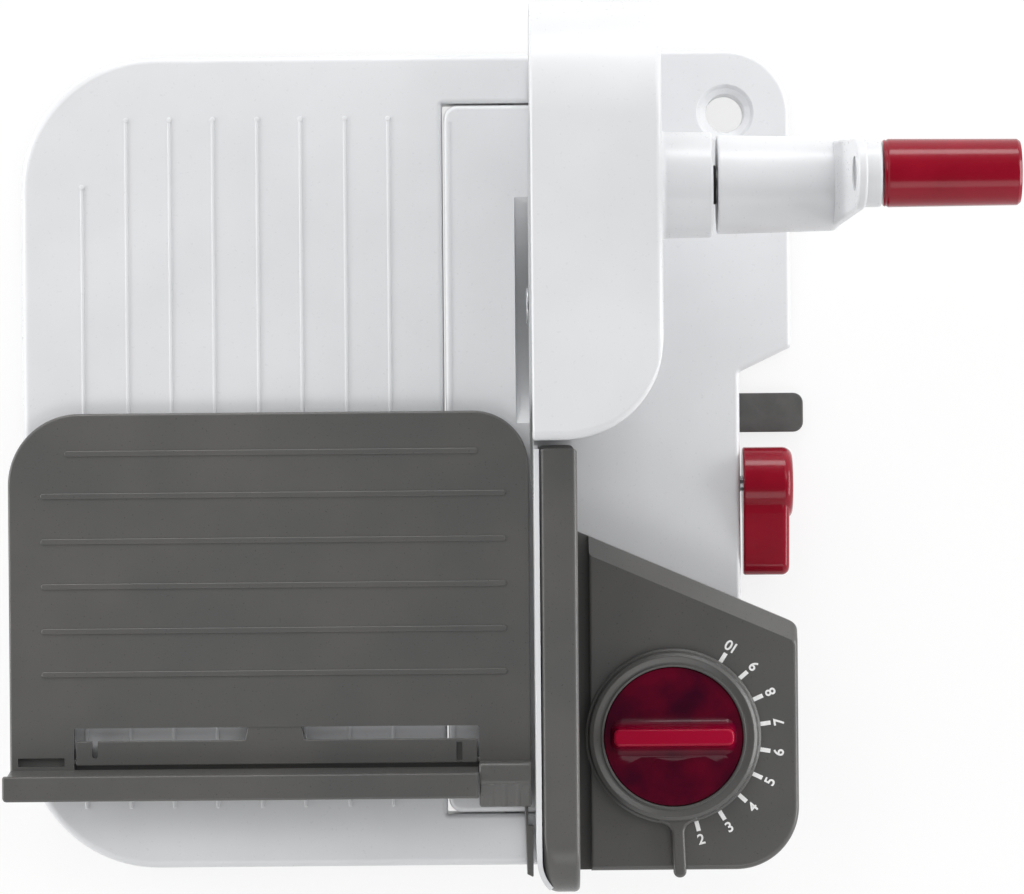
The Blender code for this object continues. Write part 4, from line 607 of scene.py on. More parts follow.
def towerSide(back=0):
    front, rear, bottom, top = tower["front"] + back, tower["rear"], tower["bottom"], tower["top"]
    return [
        (front, bottom, 0.3),
        (tower["footRear"], bottom, 0.3),
        (rear, *tower["waist"]),
        (rear, top, tower["rearRadius"]),
        (front, top, tower["frontTop"]),
    ]


def bowedLoft(side, low, high, bow, bowAtHigh, lowEdge, highEdge, depth=0):
    # rings along x whose front edge follows a round corner in plan, with a rounded rim at each end
    cuts = {low, high}
    for k in range(7):
        share = 1 - cos(pi / 12 * k)
        cuts |= {low + lowEdge * share, high - highEdge * share}
    for k in range(19):
        reach = bow * sin(pi / 36 * k)
        cuts.add(high - bow + reach if bowAtHigh else low + bow - reach)
    rings = []
    for x in sorted(x for x in cuts if low <= x <= high):
        fromBow = max(x - (high - bow) if bowAtHigh else low + bow - x, 0)
        back = bow - sqrt(max(bow**2 - fromBow**2, 0))
        rim = 0
        for edge, gap in ((lowEdge, x - low), (highEdge, high - x)):
            if gap < edge:
                rim += edge - sqrt(max(edge**2 - (edge - gap) ** 2, 0))
        corners = moveSides(side(back), depth + rim)
        steps = [cornerSteps(corner[2]) for corner in side(back)]
        rings.append((roundCorners(corners, steps), x))
    return loft(rings, "x")


wall, towerRight, bossRadius = shared["wall"], tower["right"], tower["bossRadius"]
towerShell = bowedLoft(
    towerSide, tower["left"], towerRight, tower["planRadius"], True, tower["leftEdge"], tower["rightEdge"]
)
towerRoom = bowedLoft(
    towerSide, tower["left"] - 4, towerRight - wall, tower["planRadius"] - wall, True, 0, 0, depth=wall
)
crankY, crankZ = shared["crankAxis"]
boss = turnedAlongX(
    [
        (0, towerRight - 2),
        (bossRadius + 3, towerRight - 2),
        (bossRadius + 2.6, towerRight - 0.2, 0.3),
        (bossRadius, towerRight + 2.4, 2),
        (bossRadius - 0.3, tower["bossRight"], 1.3),
        (0, tower["bossRight"]),
    ],
    shared["crankAxis"],
    96,
)
combine(towerShell, "DIFFERENCE", towerRoom)
combine(towerShell, "UNION", boss)
boreCutter = barAlongX(towerRight - 6, 90, shared["crankAxis"], tower["bore"], 64)
pocketCutter = barAlongX(-8, tower["pocket"], shared["bladeAxis"], shared["clearing"], 180)
screwPlaces = [(108, 158), (-20, 178), (100, 48), (-20, 50)]
wells = [barAlongX(50.7, 60, place, 4.3) for place in screwPlaces]
combine(towerShell, "DIFFERENCE", boreCutter, pocketCutter, *wells)
finishPiece(towerShell, "towerShell", "base", "white_plastic", "tower_housing")

coverSide = moveSides(towerSide(), wall + tower["coverGap"])
cover = slab(coverSide, tower["left"] + 0.2, tower["left"] + tower["coverDepth"], "x", bottom=0.7)
pocketCutter = turnedAlongX(
    [(0, -8), (shared["clearing"], -8), (shared["clearing"], tower["pocket"], 0.5), (0, tower["pocket"])],
    shared["bladeAxis"],
    180,
)
bushRadius, bushBossRadius = tower["bush"]
bushBore = barAlongX(-8, 6, shared["bladeAxis"], bushRadius, 64)
combine(cover, "DIFFERENCE", pocketCutter, bushBore)
bushProfile = [(bushBossRadius, 2.2), (bushBossRadius, 7.4, 0.8), (bushRadius, 7.4, 0.5), (bushRadius, 2.2)]
combine(cover, "UNION", turnedAlongX(bushProfile, shared["bladeAxis"], closed=True))
finishPiece(cover, "bladeSideCoverPanel", "base", "white_plastic", "blade_side_cover")
print("tower made")


# Screws with a cross recess, their heads towards +x, set where the CAD screws are
def crossScrew(name, place, headRadius, headHeight, shankRadius, length, body, node):
    face, y, z = place
    neck = face - headHeight
    profile = [
        (0, face),
        (headRadius * 0.72, face, headHeight * 0.4),
        (headRadius, face - headHeight * 0.45, headHeight * 0.3),
        (headRadius, neck, 0.1),
        (shankRadius, neck, 0.1),
        (shankRadius, neck - length, 0.3),
        (0, neck - length),
    ]
    piece = turnedAlongX(profile, (y, z), 40)
    arm, half, deep = headRadius * 0.52, headRadius * 0.13, face - headHeight * 0.6
    wings = [block((y - u, z - v, deep), (y + u, z + v, face + 1), 0.1, "x") for u, v in ((arm, half), (half, arm))]
    combine(piece, "DIFFERENCE", *wings)
    return finishPiece(piece, name, body, "steel", node)


for i, (y, z) in enumerate(screwPlaces):
    crossScrew(f"shellScrew{i + 1}Cross", (53.3, y, z), 4, 2.3, 1.5, 18, "base", f"shell_screw_{i + 1}")

# Blade with its screw
blade = {
    "radius": 85,
    "plane": -2.6,
    "thickness": 1.2,
    "grind": 9,
    "hole": 6,
    "waves": 72,
    "waveDepth": 0.5,
    "screwHead": (-3.8, -2.9, 8),
}


def wavyBlade():
    # a flat disc, ground on the food's side towards a finely waved edge
    thick, plane, reach = blade["thickness"], blade["plane"], blade["radius"]
    back = plane + thick
    profile = [
        (blade["hole"], plane),
        (reach - 14.2, plane),
        (reach - 14, plane + 0.12),
        (reach - 13.8, plane),
        (reach - blade["grind"], plane),
        (reach - blade["grind"] + 2.5, plane + 0.22),
        (reach - 2.5, back - 0.5),
        (reach, back - 0.22),
        (reach, back - 0.05),
        (reach - 0.8, back),
        (blade["hole"], back),
    ]
    sides = blade["waves"] * 6
    shape = bmesh.new()
    loops = []
    for radius, along in profile:
        fade = max(0, 1 - (reach - radius) / 5)
        ring = []
        for k in range(sides):
            angle = 2 * pi * k / sides
            wave = blade["waveDepth"] * fade * (0.5 - 0.5 * cos(blade["waves"] * angle))
            ring.append(shape.verts.new(((radius - wave) * cos(angle), (radius - wave) * sin(angle), along)))
        loops.append(ring)
    for low, high in zip(loops, loops[1:] + loops[:1]):
        for k in range(sides):
            j = (k + 1) % sides
            shape.faces.new((low[k], low[j], high[j], high[k]))
    return makeSolid(shape, "x", (0, *shared["bladeAxis"]))


finishPiece(wavyBlade(), "bladeDisc", "blade", "blade_steel", "blade")
headLeft, headRight, headRadius = blade["screwHead"]
bladeScrew = turnedAlongX(
    [
        (0, headLeft),
        (headRadius - 0.7, headLeft, 0.3),
        (headRadius, headLeft + 0.5, 0.2),
        (headRadius, headRight, 0.15),
        (2, headRight),
        (2, 2.2, 0.4),
        (0, 2.2),
    ],
    shared["bladeAxis"],
)
axisY, axisZ = shared["bladeAxis"]
coinSlot = block((axisY - 6, axisZ - 1.1, headLeft - 2), (axisY + 6, axisZ + 1.1, headLeft + 0.6), 0.2, "x")
combine(bladeScrew, "DIFFERENCE", coinSlot)
finishPiece(bladeScrew, "bladeCoinScrew", "blade", "steel", "blade_screw")
print("blade made")

# Crank: a long hub, a thin arm that leans outward from it, the boss at its tip and the red grip
crank = {
    "hubLeft": 78.7,
    "hubRight": 131.9,
    "hubRadius": 21.4,
    "hubEndRadius": 20.2,
    "armThickness": 4.2,
    "lean": 5,
    "footRadius": 18.5,
    "tipRadius": 15,
    "reach": 90,
    "armEdge": 1.4,
    "bossRadius": 14.1,
    "tipRight": 143.8,
    "shaftRight": 97.7,
    "webRight": 102,
    "well": 6,
    "shaftRoom": 7.3,
    "screwRoom": 2.3,
    "spindleRoom": 4.3,
    "spindleHead": (7.3, 136.6),
}
grip = {
    "left": 144.4,
    "right": 202.3,
    "radius": 14.2,
    "endRadius": 13.7,
    "bore": 4.5,
    "boreRight": 194.5,
}


def armOutline(depth):
    taper = asin((crank["footRadius"] - crank["tipRadius"]) / crank["reach"])
    points = []
    for centreZ, radius, start, end in (
        (crankZ, crank["footRadius"], pi - taper, 2 * pi + taper),
        (crankZ + crank["reach"], crank["tipRadius"], taper, pi - taper),
    ):
        for k in range(33):
            angle = start + (end - start) * k / 32
            points.append((crankY + (radius - depth) * cos(angle), centreZ + (radius - depth) * sin(angle)))
    return points


armRight = crank["hubRight"] + crank["lean"]
armLeft = armRight - crank["armThickness"]
levels = edgeCurve(crank["armEdge"], armLeft, 1) + edgeCurve(crank["armEdge"], armRight, -1)[::-1]
crankArm = loft([(armOutline(depth), x) for depth, x in levels], "x")
for vertex in crankArm.data.vertices:
    vertex.co.x += (vertex.co.z - shared["gripHeight"]) * crank["lean"] / crank["reach"]
hubLeft, hubRight, tipRight = crank["hubLeft"], crank["hubRight"], crank["tipRight"]
hubProfile = [(0, hubLeft), (crank["hubRadius"], hubLeft, 1.2), (crank["hubEndRadius"], hubRight, 4), (0, hubRight)]
hub = turnedAlongX(hubProfile, shared["crankAxis"], 96)
gripAxis = (crankY, shared["gripHeight"])
tipRadius = crank["bossRadius"]
tipProfile = [(0, armRight - 2), (tipRadius, armRight - 2), (tipRadius, tipRight, 1.2), (0, tipRight)]
combine(crankArm, "UNION", hub, turnedAlongX(tipProfile, gripAxis, 96))
shaftRoom = barAlongX(70, crank["shaftRight"], shared["crankAxis"], crank["shaftRoom"], 48)
screwRoom = barAlongX(96, 104, shared["crankAxis"], crank["screwRoom"])
webRight, well = crank["webRight"], crank["well"]
screwWell = turnedAlongX(
    [
        (0, webRight),
        (well, webRight),
        (well, hubRight - 0.7, 0.5),
        (well + 0.9, hubRight + 0.3),
        (well + 0.9, 150),
        (0, 150),
    ],
    shared["crankAxis"],
    48,
)
headRadius, wellRight = crank["spindleHead"]
tipBore = barAlongX(120, 150, gripAxis, crank["spindleRoom"], 40)
headWell = barAlongX(125, wellRight, gripAxis, headRadius, 64)
combine(crankArm, "DIFFERENCE", shaftRoom, screwRoom, screwWell, tipBore, headWell)
finishPiece(crankArm, "crankArmWithHub", "crank", "white_plastic", "crank_arm")
crossScrew("crankScrewCross", (106.3, crankY, crankZ), 5, 4, 2, 12, "crank", "crank_screw")
gripLeft, gripRight, gripRadius, endRadius = grip["left"], grip["right"], grip["radius"], grip["endRadius"]
gripBody = turnedAlongX(
    [
        (grip["bore"], gripLeft),
        (gripRadius - 0.7, gripLeft, 0.3),
        (gripRadius - 0.3, gripLeft + 0.7, 0.3),
        (gripRadius - 0.5, gripLeft + 1.4, 0.2),
        (gripRadius, gripLeft + 2.2, 0.5),
        (endRadius + 0.1, gripRight - 2.2, 1.0),
        (endRadius - 0.9, gripRight - 0.8, 0.8),
        (0, gripRight),
        (0, grip["boreRight"]),
        (grip["bore"], grip["boreRight"]),
    ],
    gripAxis,
    96,
    closed=True,
)
finishPiece(gripBody, "gripSleeve", "grip", "red_plastic", "crank_grip")
print("crank made")

# The dial's values come before the stop, because the scroll cam under the dial reaches through the stop's plate
dial = {
    "centre": (60, -190.6),
    "camHole": 8.3,
    "neck": 11.5,
    "low": 58.3,
    "top": 64.3,
    "radius": 39,
    "inner": 31,
    "floor": 60.5,
    "pointer": radians(-90 + 2.3),
    "reach": 62.7,
    "width": 5.8,
    "height": 3.4,
    "scaleStart": 14.6,
    "scaleStep": 16.57,
    "tickRadius": 41.3,
    "tick": (4.6, 1.9),
    "digitRadius": 47.3,
    "digitSize": 6.4,
}

# Thickness stop: the white face sheet with its bent front, and the tall grey carrier behind it
stop = {
    "face": -1.26,
    "sheet": 2.16,
    "bendRadius": 20.9,
    "bendFront": -237.8,
    "bend": radians(42),
    "rear": -60.9,
    "front": -252.7,
    "bottom": 27,
    "top": 160,
    "left": 1.2,
    "right": 17.1,
    "planRadius": 7,
    "frontTop": 22,
    "edge": 2.4,
    "plate": (38.5, 42, 100, -239.1, -147.1),
}


def bladeClearing(low, high, radius):
    return barAlongX(low, high, shared["bladeAxis"], radius, 220)


def faceOutline(depth):
    centre = (stop["face"] + stop["bendRadius"], stop["bendFront"])
    points = [(stop["face"] + depth, stop["rear"])]
    for radius, order in ((stop["bendRadius"] - depth, 1), (stop["bendRadius"] - stop["sheet"] + depth, -1)):
        for k in range(13)[::order]:
            angle = pi + stop["bend"] * k / 12
            points.append((centre[0] + radius * cos(angle), centre[1] + radius * sin(angle)))
    return points + [(stop["face"] + stop["sheet"] - depth, stop["rear"])]


def stopSide(back=0, drop=0):
    front, rear, bottom, top = stop["front"] + back, stop["rear"], stop["bottom"], stop["top"] - drop
    return [(front, bottom, 0.3), (rear, bottom, 0.3), (rear, top, 2.5), (front, top, stop["frontTop"])]


levels = edgeCurve(0.7, stop["bottom"], 1) + edgeCurve(0.7, stop["top"], -1)[::-1]
faceSheet = loft([(faceOutline(depth), z) for depth, z in levels])
combine(faceSheet, "INTERSECT", slab(stopSide(0.3, 0.2), -6, 12, "x"))
combine(faceSheet, "DIFFERENCE", bladeClearing(-8, 10, shared["clearing"]))
finishPiece(faceSheet, "stopFaceSheet", "stop", "white_plastic", "stop_face_sheet")
carrier = bowedLoft(stopSide, stop["left"], stop["right"], stop["planRadius"], False, stop["edge"], stop["edge"])
carrierRoom = block((-235, 20, stop["left"] + 2.5), (-75, 156, stop["right"] - 2.5), 2, "x")
combine(carrierRoom, "DIFFERENCE", bladeClearing(-8, 30, shared["clearing"] + 3))
plateLow, plateHigh, plateRight, plateFront, plateRear = stop["plate"]
slidePlate = block((stop["right"] - 1, plateFront, plateLow), (plateRight, plateRear, plateHigh), 0.8)
combine(carrier, "DIFFERENCE", bladeClearing(-8, 40, shared["clearing"]), carrierRoom)
combine(carrier, "UNION", slidePlate)
combine(carrier, "DIFFERENCE", upright(dial["centre"], 30, 50, dial["camHole"], 48))
finishPiece(carrier, "stopCarrierBody", "stop", "grey_plastic", "stop_carrier")
print("stop made")

# Dial housing with its bevelled rear edge and the channel beside the stop
housing = {
    "outline": [(17.4, -250.1, 1), (115.7, -250.1, 28), (115.7, -141.3, 5), (17.4, -99.1, 0.5)],
    "bottom": 27,
    "top": 58,
    "edge": 2.4,
    "bevelWidth": 7.6,
    "bevelDrop": 5.5,
    "channel": (23.2, 50),
    "wall": 2.5,
}


def housingRings(depth):
    bottom, top, edge = housing["bottom"], housing["top"] - depth, housing["edge"]
    bevelLow = top - housing["bevelDrop"]
    levels = [(0, bottom), (0, bevelLow), (0, top - edge)]
    levels += [(edge * (1 - cos(a)), top - edge * (1 - sin(a))) for a in [pi / 12 * k for k in range(1, 7)]]
    rings = []
    steps = [cornerSteps(corner[2]) for corner in housing["outline"]]
    for rim, z in levels:
        slant = housing["bevelWidth"] * max(z - bevelLow, 0) / housing["bevelDrop"]
        sides = [rim + depth, rim + depth, slant + depth, depth]
        rings.append((roundCorners(moveSides(housing["outline"], sides), steps), z))
    return rings


housingShell = loft(housingRings(0))
housingRoom = housingRings(housing["wall"])
housingRoom[0] = (housingRoom[0][0], housing["bottom"] - 3)
channelRight, channelFloor = housing["channel"]
channel = flaredCutter(oblong(10, -260, channelRight, -90), channelFloor, housing["top"], 1.3)
room = loft(housingRoom)
wall = housing["wall"]
combine(room, "DIFFERENCE", block((10, -260, channelFloor - wall), (channelRight + wall, -90, 70)))
combine(housingShell, "DIFFERENCE", room, channel)
slot = block((10, -242.1, 20), (22, -144.1, 42.3))
neckHole = upright(dial["centre"], 50, 62, dial["neck"] + 0.3, 64)
combine(housingShell, "DIFFERENCE", slot, neckHole)
finishPiece(housingShell, "dialHousingShell", "stop", "grey_plastic", "dial_housing")

dialX, dialY = dial["centre"]
low, top, neck, bore = dial["low"], dial["top"], dial["neck"], dial["camHole"]
ring = lathe(
    [
        (neck, low),
        (dial["radius"], low, 0.2),
        (dial["radius"], low + 1.1, 0.4),
        (38, low + 1.7, 0.3),
        (37.2, top - 1.2, 0.9),
        (35.6, top, 0.7),
        (33, top - 0.9, 1.5),
        (32.3, top - 0.9, 0.2),
        (32, top - 0.3, 0.25),
        (dial["inner"], top - 0.5, 0.4),
        (dial["inner"], dial["floor"]),
        (bore, dial["floor"]),
        (bore, low - 12),
        (neck, low - 12, 0.5),
    ],
    (dialX, dialY, 0),
    sides=144,
    closed=True,
)
half = dial["width"] / 2
pointerPlan = [(34.5, -9, 0), (37.2, -9, 0), (40.2, -half, 4.5), (dial["reach"], -half, half * 0.96)]
pointerPlan += [(u, -v, radius) for u, v, radius in pointerPlan[::-1]]
pointer = slab(pointerPlan, low, low + dial["height"], top=1.5)
turnAbout(pointer, (dialX, dialY, 0), dial["pointer"])
combine(ring, "UNION", pointer)
finishPiece(ring, "dialRingWithPointer", "dial", "grey_plastic", "dial_ring")

knob = {
    "radius": 30.8,
    "low": 60.8,
    "disc": 62.8,
    "top": 71.8,
    "hub": 8,
    "bar": (26.6, 3.8, 1.3),  # half its length and width at the top, and the rounding there
    "foot": (2.4, 0.9, 5.5),  # how far it spreads lengthwise, evenly and in the hollow at its foot
}
low, disc, hubRadius = knob["low"], knob["disc"], knob["hub"]
knobDisc = lathe(
    [
        (0, low - 3.4),
        (hubRadius, low - 3.4, 0.5),
        (hubRadius, low),
        (knob["radius"], low, 0.3),
        (knob["radius"], disc - 0.2, 0.5),
        (28, disc - 0.1, 2),
        (12, disc - 0.9, 8),
        (0, disc - 0.9),
    ],
    (dialX, dialY, 0),
    sides=144,
)
halfLong, halfWide, barEdge = knob["bar"]
spreadLong, spreadEven, spreadWide = knob["foot"]
foot, shoulder = disc - 1.2, knob["top"] - barEdge
barSizes = []
for k in range(17):
    left = 1 - k / 16
    wide = halfWide + spreadEven * left + spreadWide * left**4
    barSizes.append((halfLong + spreadLong * left**4, wide, shoulder - (shoulder - foot) * left))
for inset, z in edgeCurve(barEdge, knob["top"], -1)[:-1][::-1]:
    barSizes.append((halfLong - inset, halfWide - inset, z))
rings = []
for long, wide, z in barSizes:
    corners = oblong(dialX - long, dialY - wide, dialX + long, dialY + wide, wide * 0.7)
    rings.append((roundCorners(corners, [8] * 4), z))
knobBar = loft(rings)
combine(knobDisc, "UNION", knobBar)
finishPiece(knobDisc, "dialKnobWithBar", "dial", "red_plastic", "dial_knob", material=knobAbsPaintedLight)


def printedDigit(number, angle):
    # a digit in rounded strokes, its top towards the dial's centre
    curve = bpy.data.curves.new("digit", "FONT")
    curve.body = str(number)
    curve.size = dial["digitSize"]
    curve.offset = 0.14
    curve.extrude = 0.06
    curve.align_x = "CENTER"
    curve.align_y = "CENTER"
    curve.space_character = 0.85
    sketch = addObject("digit", curve)
    bpy.context.view_layer.update()
    mesh = bpy.data.meshes.new_from_object(sketch.evaluated_get(bpy.context.evaluated_depsgraph_get()))
    bpy.data.objects.remove(sketch, do_unlink=True)
    middle = [(max(values) + min(values)) / 2 for values in zip(*[vertex.co.xy for vertex in mesh.vertices])]
    mesh.transform(Matrix.Translation((-middle[0], -middle[1], 0)))
    reach = dial["digitRadius"]
    place = (dialX + reach * cos(angle), dialY + reach * sin(angle), housing["top"] + 0.06)
    return turnAbout(addObject("digit", mesh), place, angle + pi / 2)


for number in range(2, 11):
    angle = radians(-90 + dial["scaleStart"] + dial["scaleStep"] * (number - 2))
    tickLength, tickWidth = dial["tick"]
    tick = block((-tickLength / 2, -tickWidth / 2, -0.1), (tickLength / 2, tickWidth / 2, 0.12), 0.05)
    reach = dial["tickRadius"]
    turnAbout(tick, (dialX + reach * cos(angle), dialY + reach * sin(angle), housing["top"]), angle)
    finishPiece(tick, f"scaleTick{number}", "stop", "white_plastic", material=scaleInk)
    finishPiece(printedDigit(number, angle), f"scaleDigit{number}", "stop", "white_plastic", material=scaleInk)
print("dial made")

# Food carriage: ribbed plate, fence and ledge, with the bay that the flap lies in; ribs are (y, left, right)
carriage = {
    "outline": [(-236.8, -207.3, 1.5), (-3.1, -207.3, 1.5), (-3.1, -45.1, 25), (-236.8, -45.1, 32)],
    "bottom": 30.5,
    "top": 34,
    "edge": 1.3,
    "fence": (-236.8, -207.3, -26.7, -204.9, 51),
    "fenceLean": 1.6,
    "ledge": (-239, -218, -26.7, -206.5, 48),
    "bay": (-208, -204.9, -26.4, -186.2),
    "slot": (-233.2, -203.2, -212.3, -199.4),
    "ribs": [
        (-63, -210, -27),
        (-82, -221, -14.7),
        (-102.4, -221, -14.7),
        (-122.6, -221, -14.7),
        (-142.7, -221, -14.7),
        (-162, -221, -14.7),
    ],
    "ribWidth": 2.6,
    "ribHeight": 0.5,
}
plate = slab(carriage["outline"], carriage["bottom"], carriage["top"], top=carriage["edge"], bottom=0.5)
left, front, right, rear, fenceTop = carriage["fence"]
foot, head = carriage["top"] - 0.6, fenceTop - 0.3
fenceSide = [
    (front + 0.05, foot, 0.1),
    (rear, foot, 0.1),
    (rear - carriage["fenceLean"], head, 0.1),
    (front + 0.05, head, 0.1),
]
fence = slab(fenceSide, left + 0.1, right - 0.05, "x", top=0.2, bottom=0.2)
left, front, right, rear, low = carriage["ledge"]
ledgePlan = [(left, front, 2), (right, front, 0.5), (right, rear, 0.5), (left, rear, 1.2)]
ledge = slab(ledgePlan, low, fenceTop, top=1.2, bottom=0.8)
left, front, right, rear = left + 0.3, front + 0.1, right - 0.1, front + 2.5
lip = slab([(left, front, 1), (right, front, 0.5), (right, rear, 0.5), (left, rear, 1)], low - 5, low + 1, bottom=0.6)
runners = [
    block((-228, -200, 26.3), (-222, -80, 31), 0.5),
    block((-11.5, -200, 26.6), (-7.9, -80, 31), 0.4),
    block((-4.3, -200, 26.6), (-3.1, -80, 31), 0.3),
]
bayLeft, bayFront, bayRight, bayRear = carriage["bay"]
hinges = [block((x, -205.5, 28), (x + 7, -197.9, 31), 0.4) for x in (bayLeft - 7, bayRight)]
ribs = [
    ridge((left, y), (right, y), carriage["ribWidth"], carriage["ribHeight"], carriage["top"])
    for y, left, right in carriage["ribs"]
]
gutter = block((bayLeft - 2, -206, 27), (bayRight + 2, -202.6, 28.5), 0.3)
combine(plate, "UNION", fence, ledge, lip, *runners, *hinges, *ribs)
bayCorners = [(bayLeft, bayFront, 0.3), (bayRight, bayFront, 0.3), (bayRight, bayRear, 1), (bayLeft, bayRear, 1)]
bay = slab(bayCorners, 20, 40)
slotLeft, slotFront, slotRight, slotRear = carriage["slot"]
slot = block((slotLeft, slotFront, carriage["bottom"] + 0.6), (slotRight, slotRear, 36), 0.4)
combine(plate, "DIFFERENCE", bay, slot)
combine(plate, "UNION", gutter)
finishPiece(plate, "carriageDeck", "carriage", "grey_plastic", "carriage_plate")

flap = {
    "plan": (-207.2, -203, -27.2, -192),
    "low": 30.6,
    "high": 33.8,
    "catch": (-130, -106, -185.6),
    "axis": (-201.5, 31.6),
    "pin": 1.4,
}
left, front, right, rear = flap["plan"]
catchLeft, catchRight, catchRear = flap["catch"]
flapPlan = [
    (left, front, 0.8),
    (right, front, 0.8),
    (right, rear, 0.8),
    (catchRight + 1.5, rear, 0.8),
    (catchRight, catchRear, 1.2),
    (catchLeft, catchRear, 1.2),
    (catchLeft - 1.5, rear, 0.8),
    (left, rear, 0.8),
]
flapPlate = slab(flapPlan, flap["low"], flap["high"], top=0.6, bottom=0.3)
pins = [barAlongX(end - 3, end + 3, flap["axis"], flap["pin"], 24) for end in (left, right)]
combine(flapPlate, "UNION", *pins)
snapSlit = slab([(-200, -199.6, 1.2), (-197.4, -199.6, 1.2), (-197.4, -188, 0), (-200, -188, 0)], 28, 36)
fingerNotch = slab(oblong(-36.6, -202, -34, -193.6, 0.6), 32, 36)
combine(flapPlate, "DIFFERENCE", snapSlit, fingerNotch)
finishPiece(flapPlate, "flapPanel", "flap", "grey_plastic", "carriage_flap")

guard = {"left": -26.4, "right": -3.1, "bead": 2.6, "beads": (-21, -15, -9)}
# The hood stands in front of the plate's edge and reaches back over it
guardFoot = [(-222.7, 30.5, 1), (-207.6, 30.5, 0), (-207.6, 34.3, 0), (-202.2, 34.3, 0.5)]
guardTop = [(-202.2, 50, 2), (-211.5, 50, 4), (-222.7, 38, 3)]
guardBody = slab(guardFoot + guardTop, guard["left"], guard["right"], "x", top=1.2, bottom=1.2)
beads = [rod((x, -209.9, 48.2), (x, -220.6, 37), guard["bead"], 40) for x in guard["beads"]]
combine(guardBody, "UNION", *beads)
finishPiece(guardBody, "thumbGuardHood", "carriage", "grey_plastic", "thumb_guard")

railRight = [(-5.3, -253.5, 0.4), (-2.4, -255, 0.5), (-2.4, -231.5, 0.3), (-4.6, -231.5, 0.3), (-4.6, -62, 1)]
railLeft = [(-7.6, -62, 1), (-7.6, -206, 3), (-6.4, -216, 3)]
rail = slab(railRight + railLeft, 26.3, 30.2, top=0.6, bottom=0.2)
pegs = [upright((-6.1, y), 22, 27.3, 1.1, 20) for y in (-200, -100)]
combine(rail, "UNION", *pegs)
finishPiece(rail, "carriageGuideRail", "base", "grey_plastic", "carriage_rail")
print("carriage made")

# Suction foot: the rubber cup with its pull tongue, and the lever that lifts its middle
cupTop = [(0, 9.5), (9, 9.5, 0.6), (9.4, 8, 0.8), (20, 7.6, 1), (36, 5.2, 2), (42, 1.6, 0.8)]
cupBelow = [(42, 0, 0.4), (39.5, 0, 0.4), (34, 1.6, 2), (10, 3.3, 4), (0, 3.4)]
cup = lathe(cupTop + cupBelow, (cupX, cupY, 0), sides=96)
tongue = slab([(62, -55.8, 0), (121.6, -55.8, 4.5), (121.6, -38.1, 4.5), (62, -38.1, 0)], 3, 6, top=0.8, bottom=0.6)
combine(cup, "UNION", tongue)
combine(cup, "DIFFERENCE", upright((cupX, cupY), 5, 12, 2.3, 24))
finishPiece(cup, "suctionCupRubber", None, "black_rubber", "suction_cup")
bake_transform(cup)

lever = {"left": 93.3, "right": 115.8, "axis": (-79, 17), "radius": 16.4, "bore": 3.8}
left, right, radius = lever["left"], lever["right"], lever["radius"]
leverHub = turnedAlongX([(0, left), (radius, left, 1), (radius, right, 4.5), (0, right)], lever["axis"], 96)
paddleSide = [(-120.2, 12, 5), (-79, 9, 0), (-79, 31, 0), (-92, 30.2, 12), (-120.2, 25, 6)]
paddle = slab(paddleSide, left, right - 1.8, "x", top=3.4, bottom=1)
combine(leverHub, "UNION", paddle)
combine(leverHub, "DIFFERENCE", barAlongX(90, 105.6, lever["axis"], lever["bore"]))
finishPiece(leverHub, "suctionLeverPaddle", "lever", "red_plastic", "suction_lever")
print("suction foot made")

# The CAD nodes that stay get the same materials
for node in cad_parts.values():
    for place in node.material_slots:
        finish = place.material and finishes.get(place.material.name.split(".")[0])
        if finish:
            place.material = finish
print("kept nodes finished")

# Floor, world, lamps and camera
light = {"paperGlow": 0.8, "ambient": 0.45, "ceiling": 0.15, "ceilingFrom": (0.45, 0.8)}
floorShape = bmesh.new()
bmesh.ops.create_grid(floorShape, x_segments=8, y_segments=8, size=6)
floor = makeSolid(floorShape)
floor.name = "floor"
paper = surface(
    "mattWhitePaper",
    colours=("#F7F7F7", "#F8F8F8"),
    cloudSize=400,
    roughness=(0.9, 0.95),
    grain=(3, 0.01, 0.1),
    specular=0.0,
)


def seenDirectly(tree):
    # 1 for rays from the camera, a gloss or a clear material, 0 for the light on the object
    rays = addNode(tree, "ShaderNodeLightPath").outputs
    first = {0: rays["Is Camera Ray"], 1: rays["Is Glossy Ray"]}
    both = addNode(tree, "ShaderNodeMath", {"operation": "MAXIMUM"}, first)
    second = {0: both.outputs[0], 1: rays["Is Transmission Ray"]}
    return addNode(tree, "ShaderNodeMath", {"operation": "MAXIMUM"}, second).outputs[0]


# The paper looks almost burnt out, as in a cut-out picture, and still shows the shadow
paperTree = paper.node_tree
glow = addNode(paperTree, "ShaderNodeEmission", {"Color": (1, 1, 1, 1), "Strength": 1.0})
glowShare = addNode(
    paperTree, "ShaderNodeMapRange", {"To Max": light["paperGlow"]}, {"Value": seenDirectly(paperTree)}
)
paperMix = addNode(
    paperTree,
    "ShaderNodeMixShader",
    links={0: glowShare.outputs["Result"], 1: paperTree.nodes["Principled BSDF"].outputs["BSDF"], 2: glow.outputs[0]},
)
paperTree.links.new(paperMix.outputs[0], paperTree.nodes["Material Output"].inputs["Surface"])
floor.data.materials.append(paper)

world = bpy.data.worlds.new("studio")
bpy.context.scene.world = world
world.use_nodes = True
sky = world.node_tree
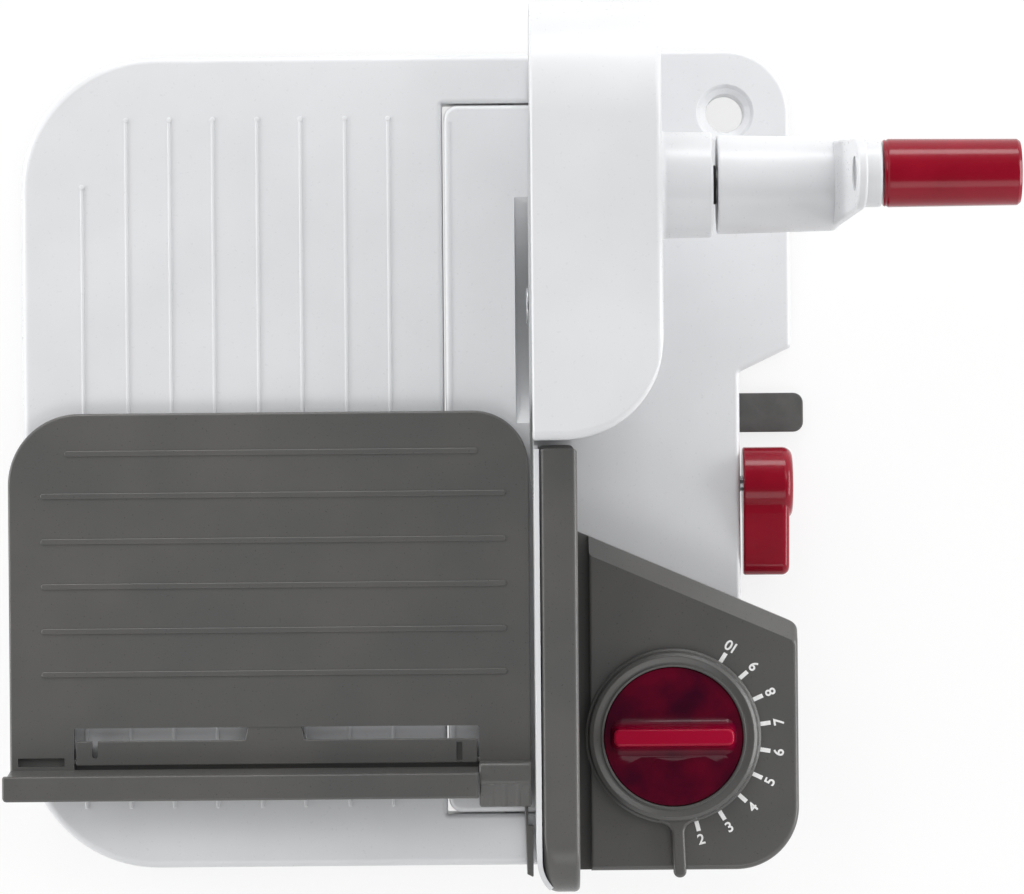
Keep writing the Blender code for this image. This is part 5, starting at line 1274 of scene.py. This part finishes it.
# A white surround up to about 30 degrees above the horizon, and a darker ceiling that only a gloss shows
upward = addNode(sky, "ShaderNodeTexCoord").outputs["Generated"]
rise = addNode(sky, "ShaderNodeSeparateXYZ", links={"Vector": upward}).outputs["Z"]
fromRise, toRise = light["ceilingFrom"]
surround = addNode(
    sky,
    "ShaderNodeMapRange",
    {"From Min": fromRise, "From Max": toRise, "To Min": 1.0, "To Max": light["ceiling"]},
    {"Value": rise},
)
level = addNode(
    sky,
    "ShaderNodeMapRange",
    {"To Min": light["ambient"]},
    {"Value": seenDirectly(sky), "To Max": surround.outputs["Result"]},
)
sky.nodes["Background"].inputs["Color"].default_value = (1, 1, 1, 1)
sky.links.new(level.outputs["Result"], sky.nodes["Background"].inputs["Strength"])

lamps = {
    "rearSoftbox": {"place": (0, 1.9, 0.75), "size": (1.8, 0.6), "power": 20},
    "leftSoftbox": {"place": (-1.9, 0, 0.55), "size": (1.8, 0.6), "power": 21},
    "rightSoftbox": {"place": (1.9, 0, 0.55), "size": (1.8, 0.6), "power": 22},
    "highLeftSoftbox": {"place": (-1.0, 1.0, 1.7), "size": (1.2, 0.6), "power": 5},
    "highRightSoftbox": {"place": (1.1, 0.9, 1.7), "size": (1.2, 0.6), "power": 6},
    "frontSoftbox": {"place": (0.2, -1.2, 1.6), "size": (1.4, 0.7), "power": 6},
}
for name, values in lamps.items():
    data = bpy.data.lights.new(name, "AREA")
    data.shape = "RECTANGLE"
    data.size, data.size_y = values["size"]
    data.energy = values["power"]
    lamp = addObject(name, data)
    lamp.location = values["place"]
    lamp.rotation_euler = (-Vector(values["place"])).to_track_quat("-Z", "Y").to_euler()

view = {"place": (0.00785, 0.00098, 2.5), "roll": radians(-0.5), "lens": 193.36}
cameraData = bpy.data.cameras.new("topView")
cameraData.sensor_width = 36
cameraData.lens = view["lens"]
camera = addObject("topView", cameraData)
camera.location = view["place"]
camera.rotation_euler = (0, 0, view["roll"])
bpy.context.scene.camera = camera
bpy.context.scene.view_settings.view_transform = "Standard"
print("stage set")

bpy.context.view_layer.update()
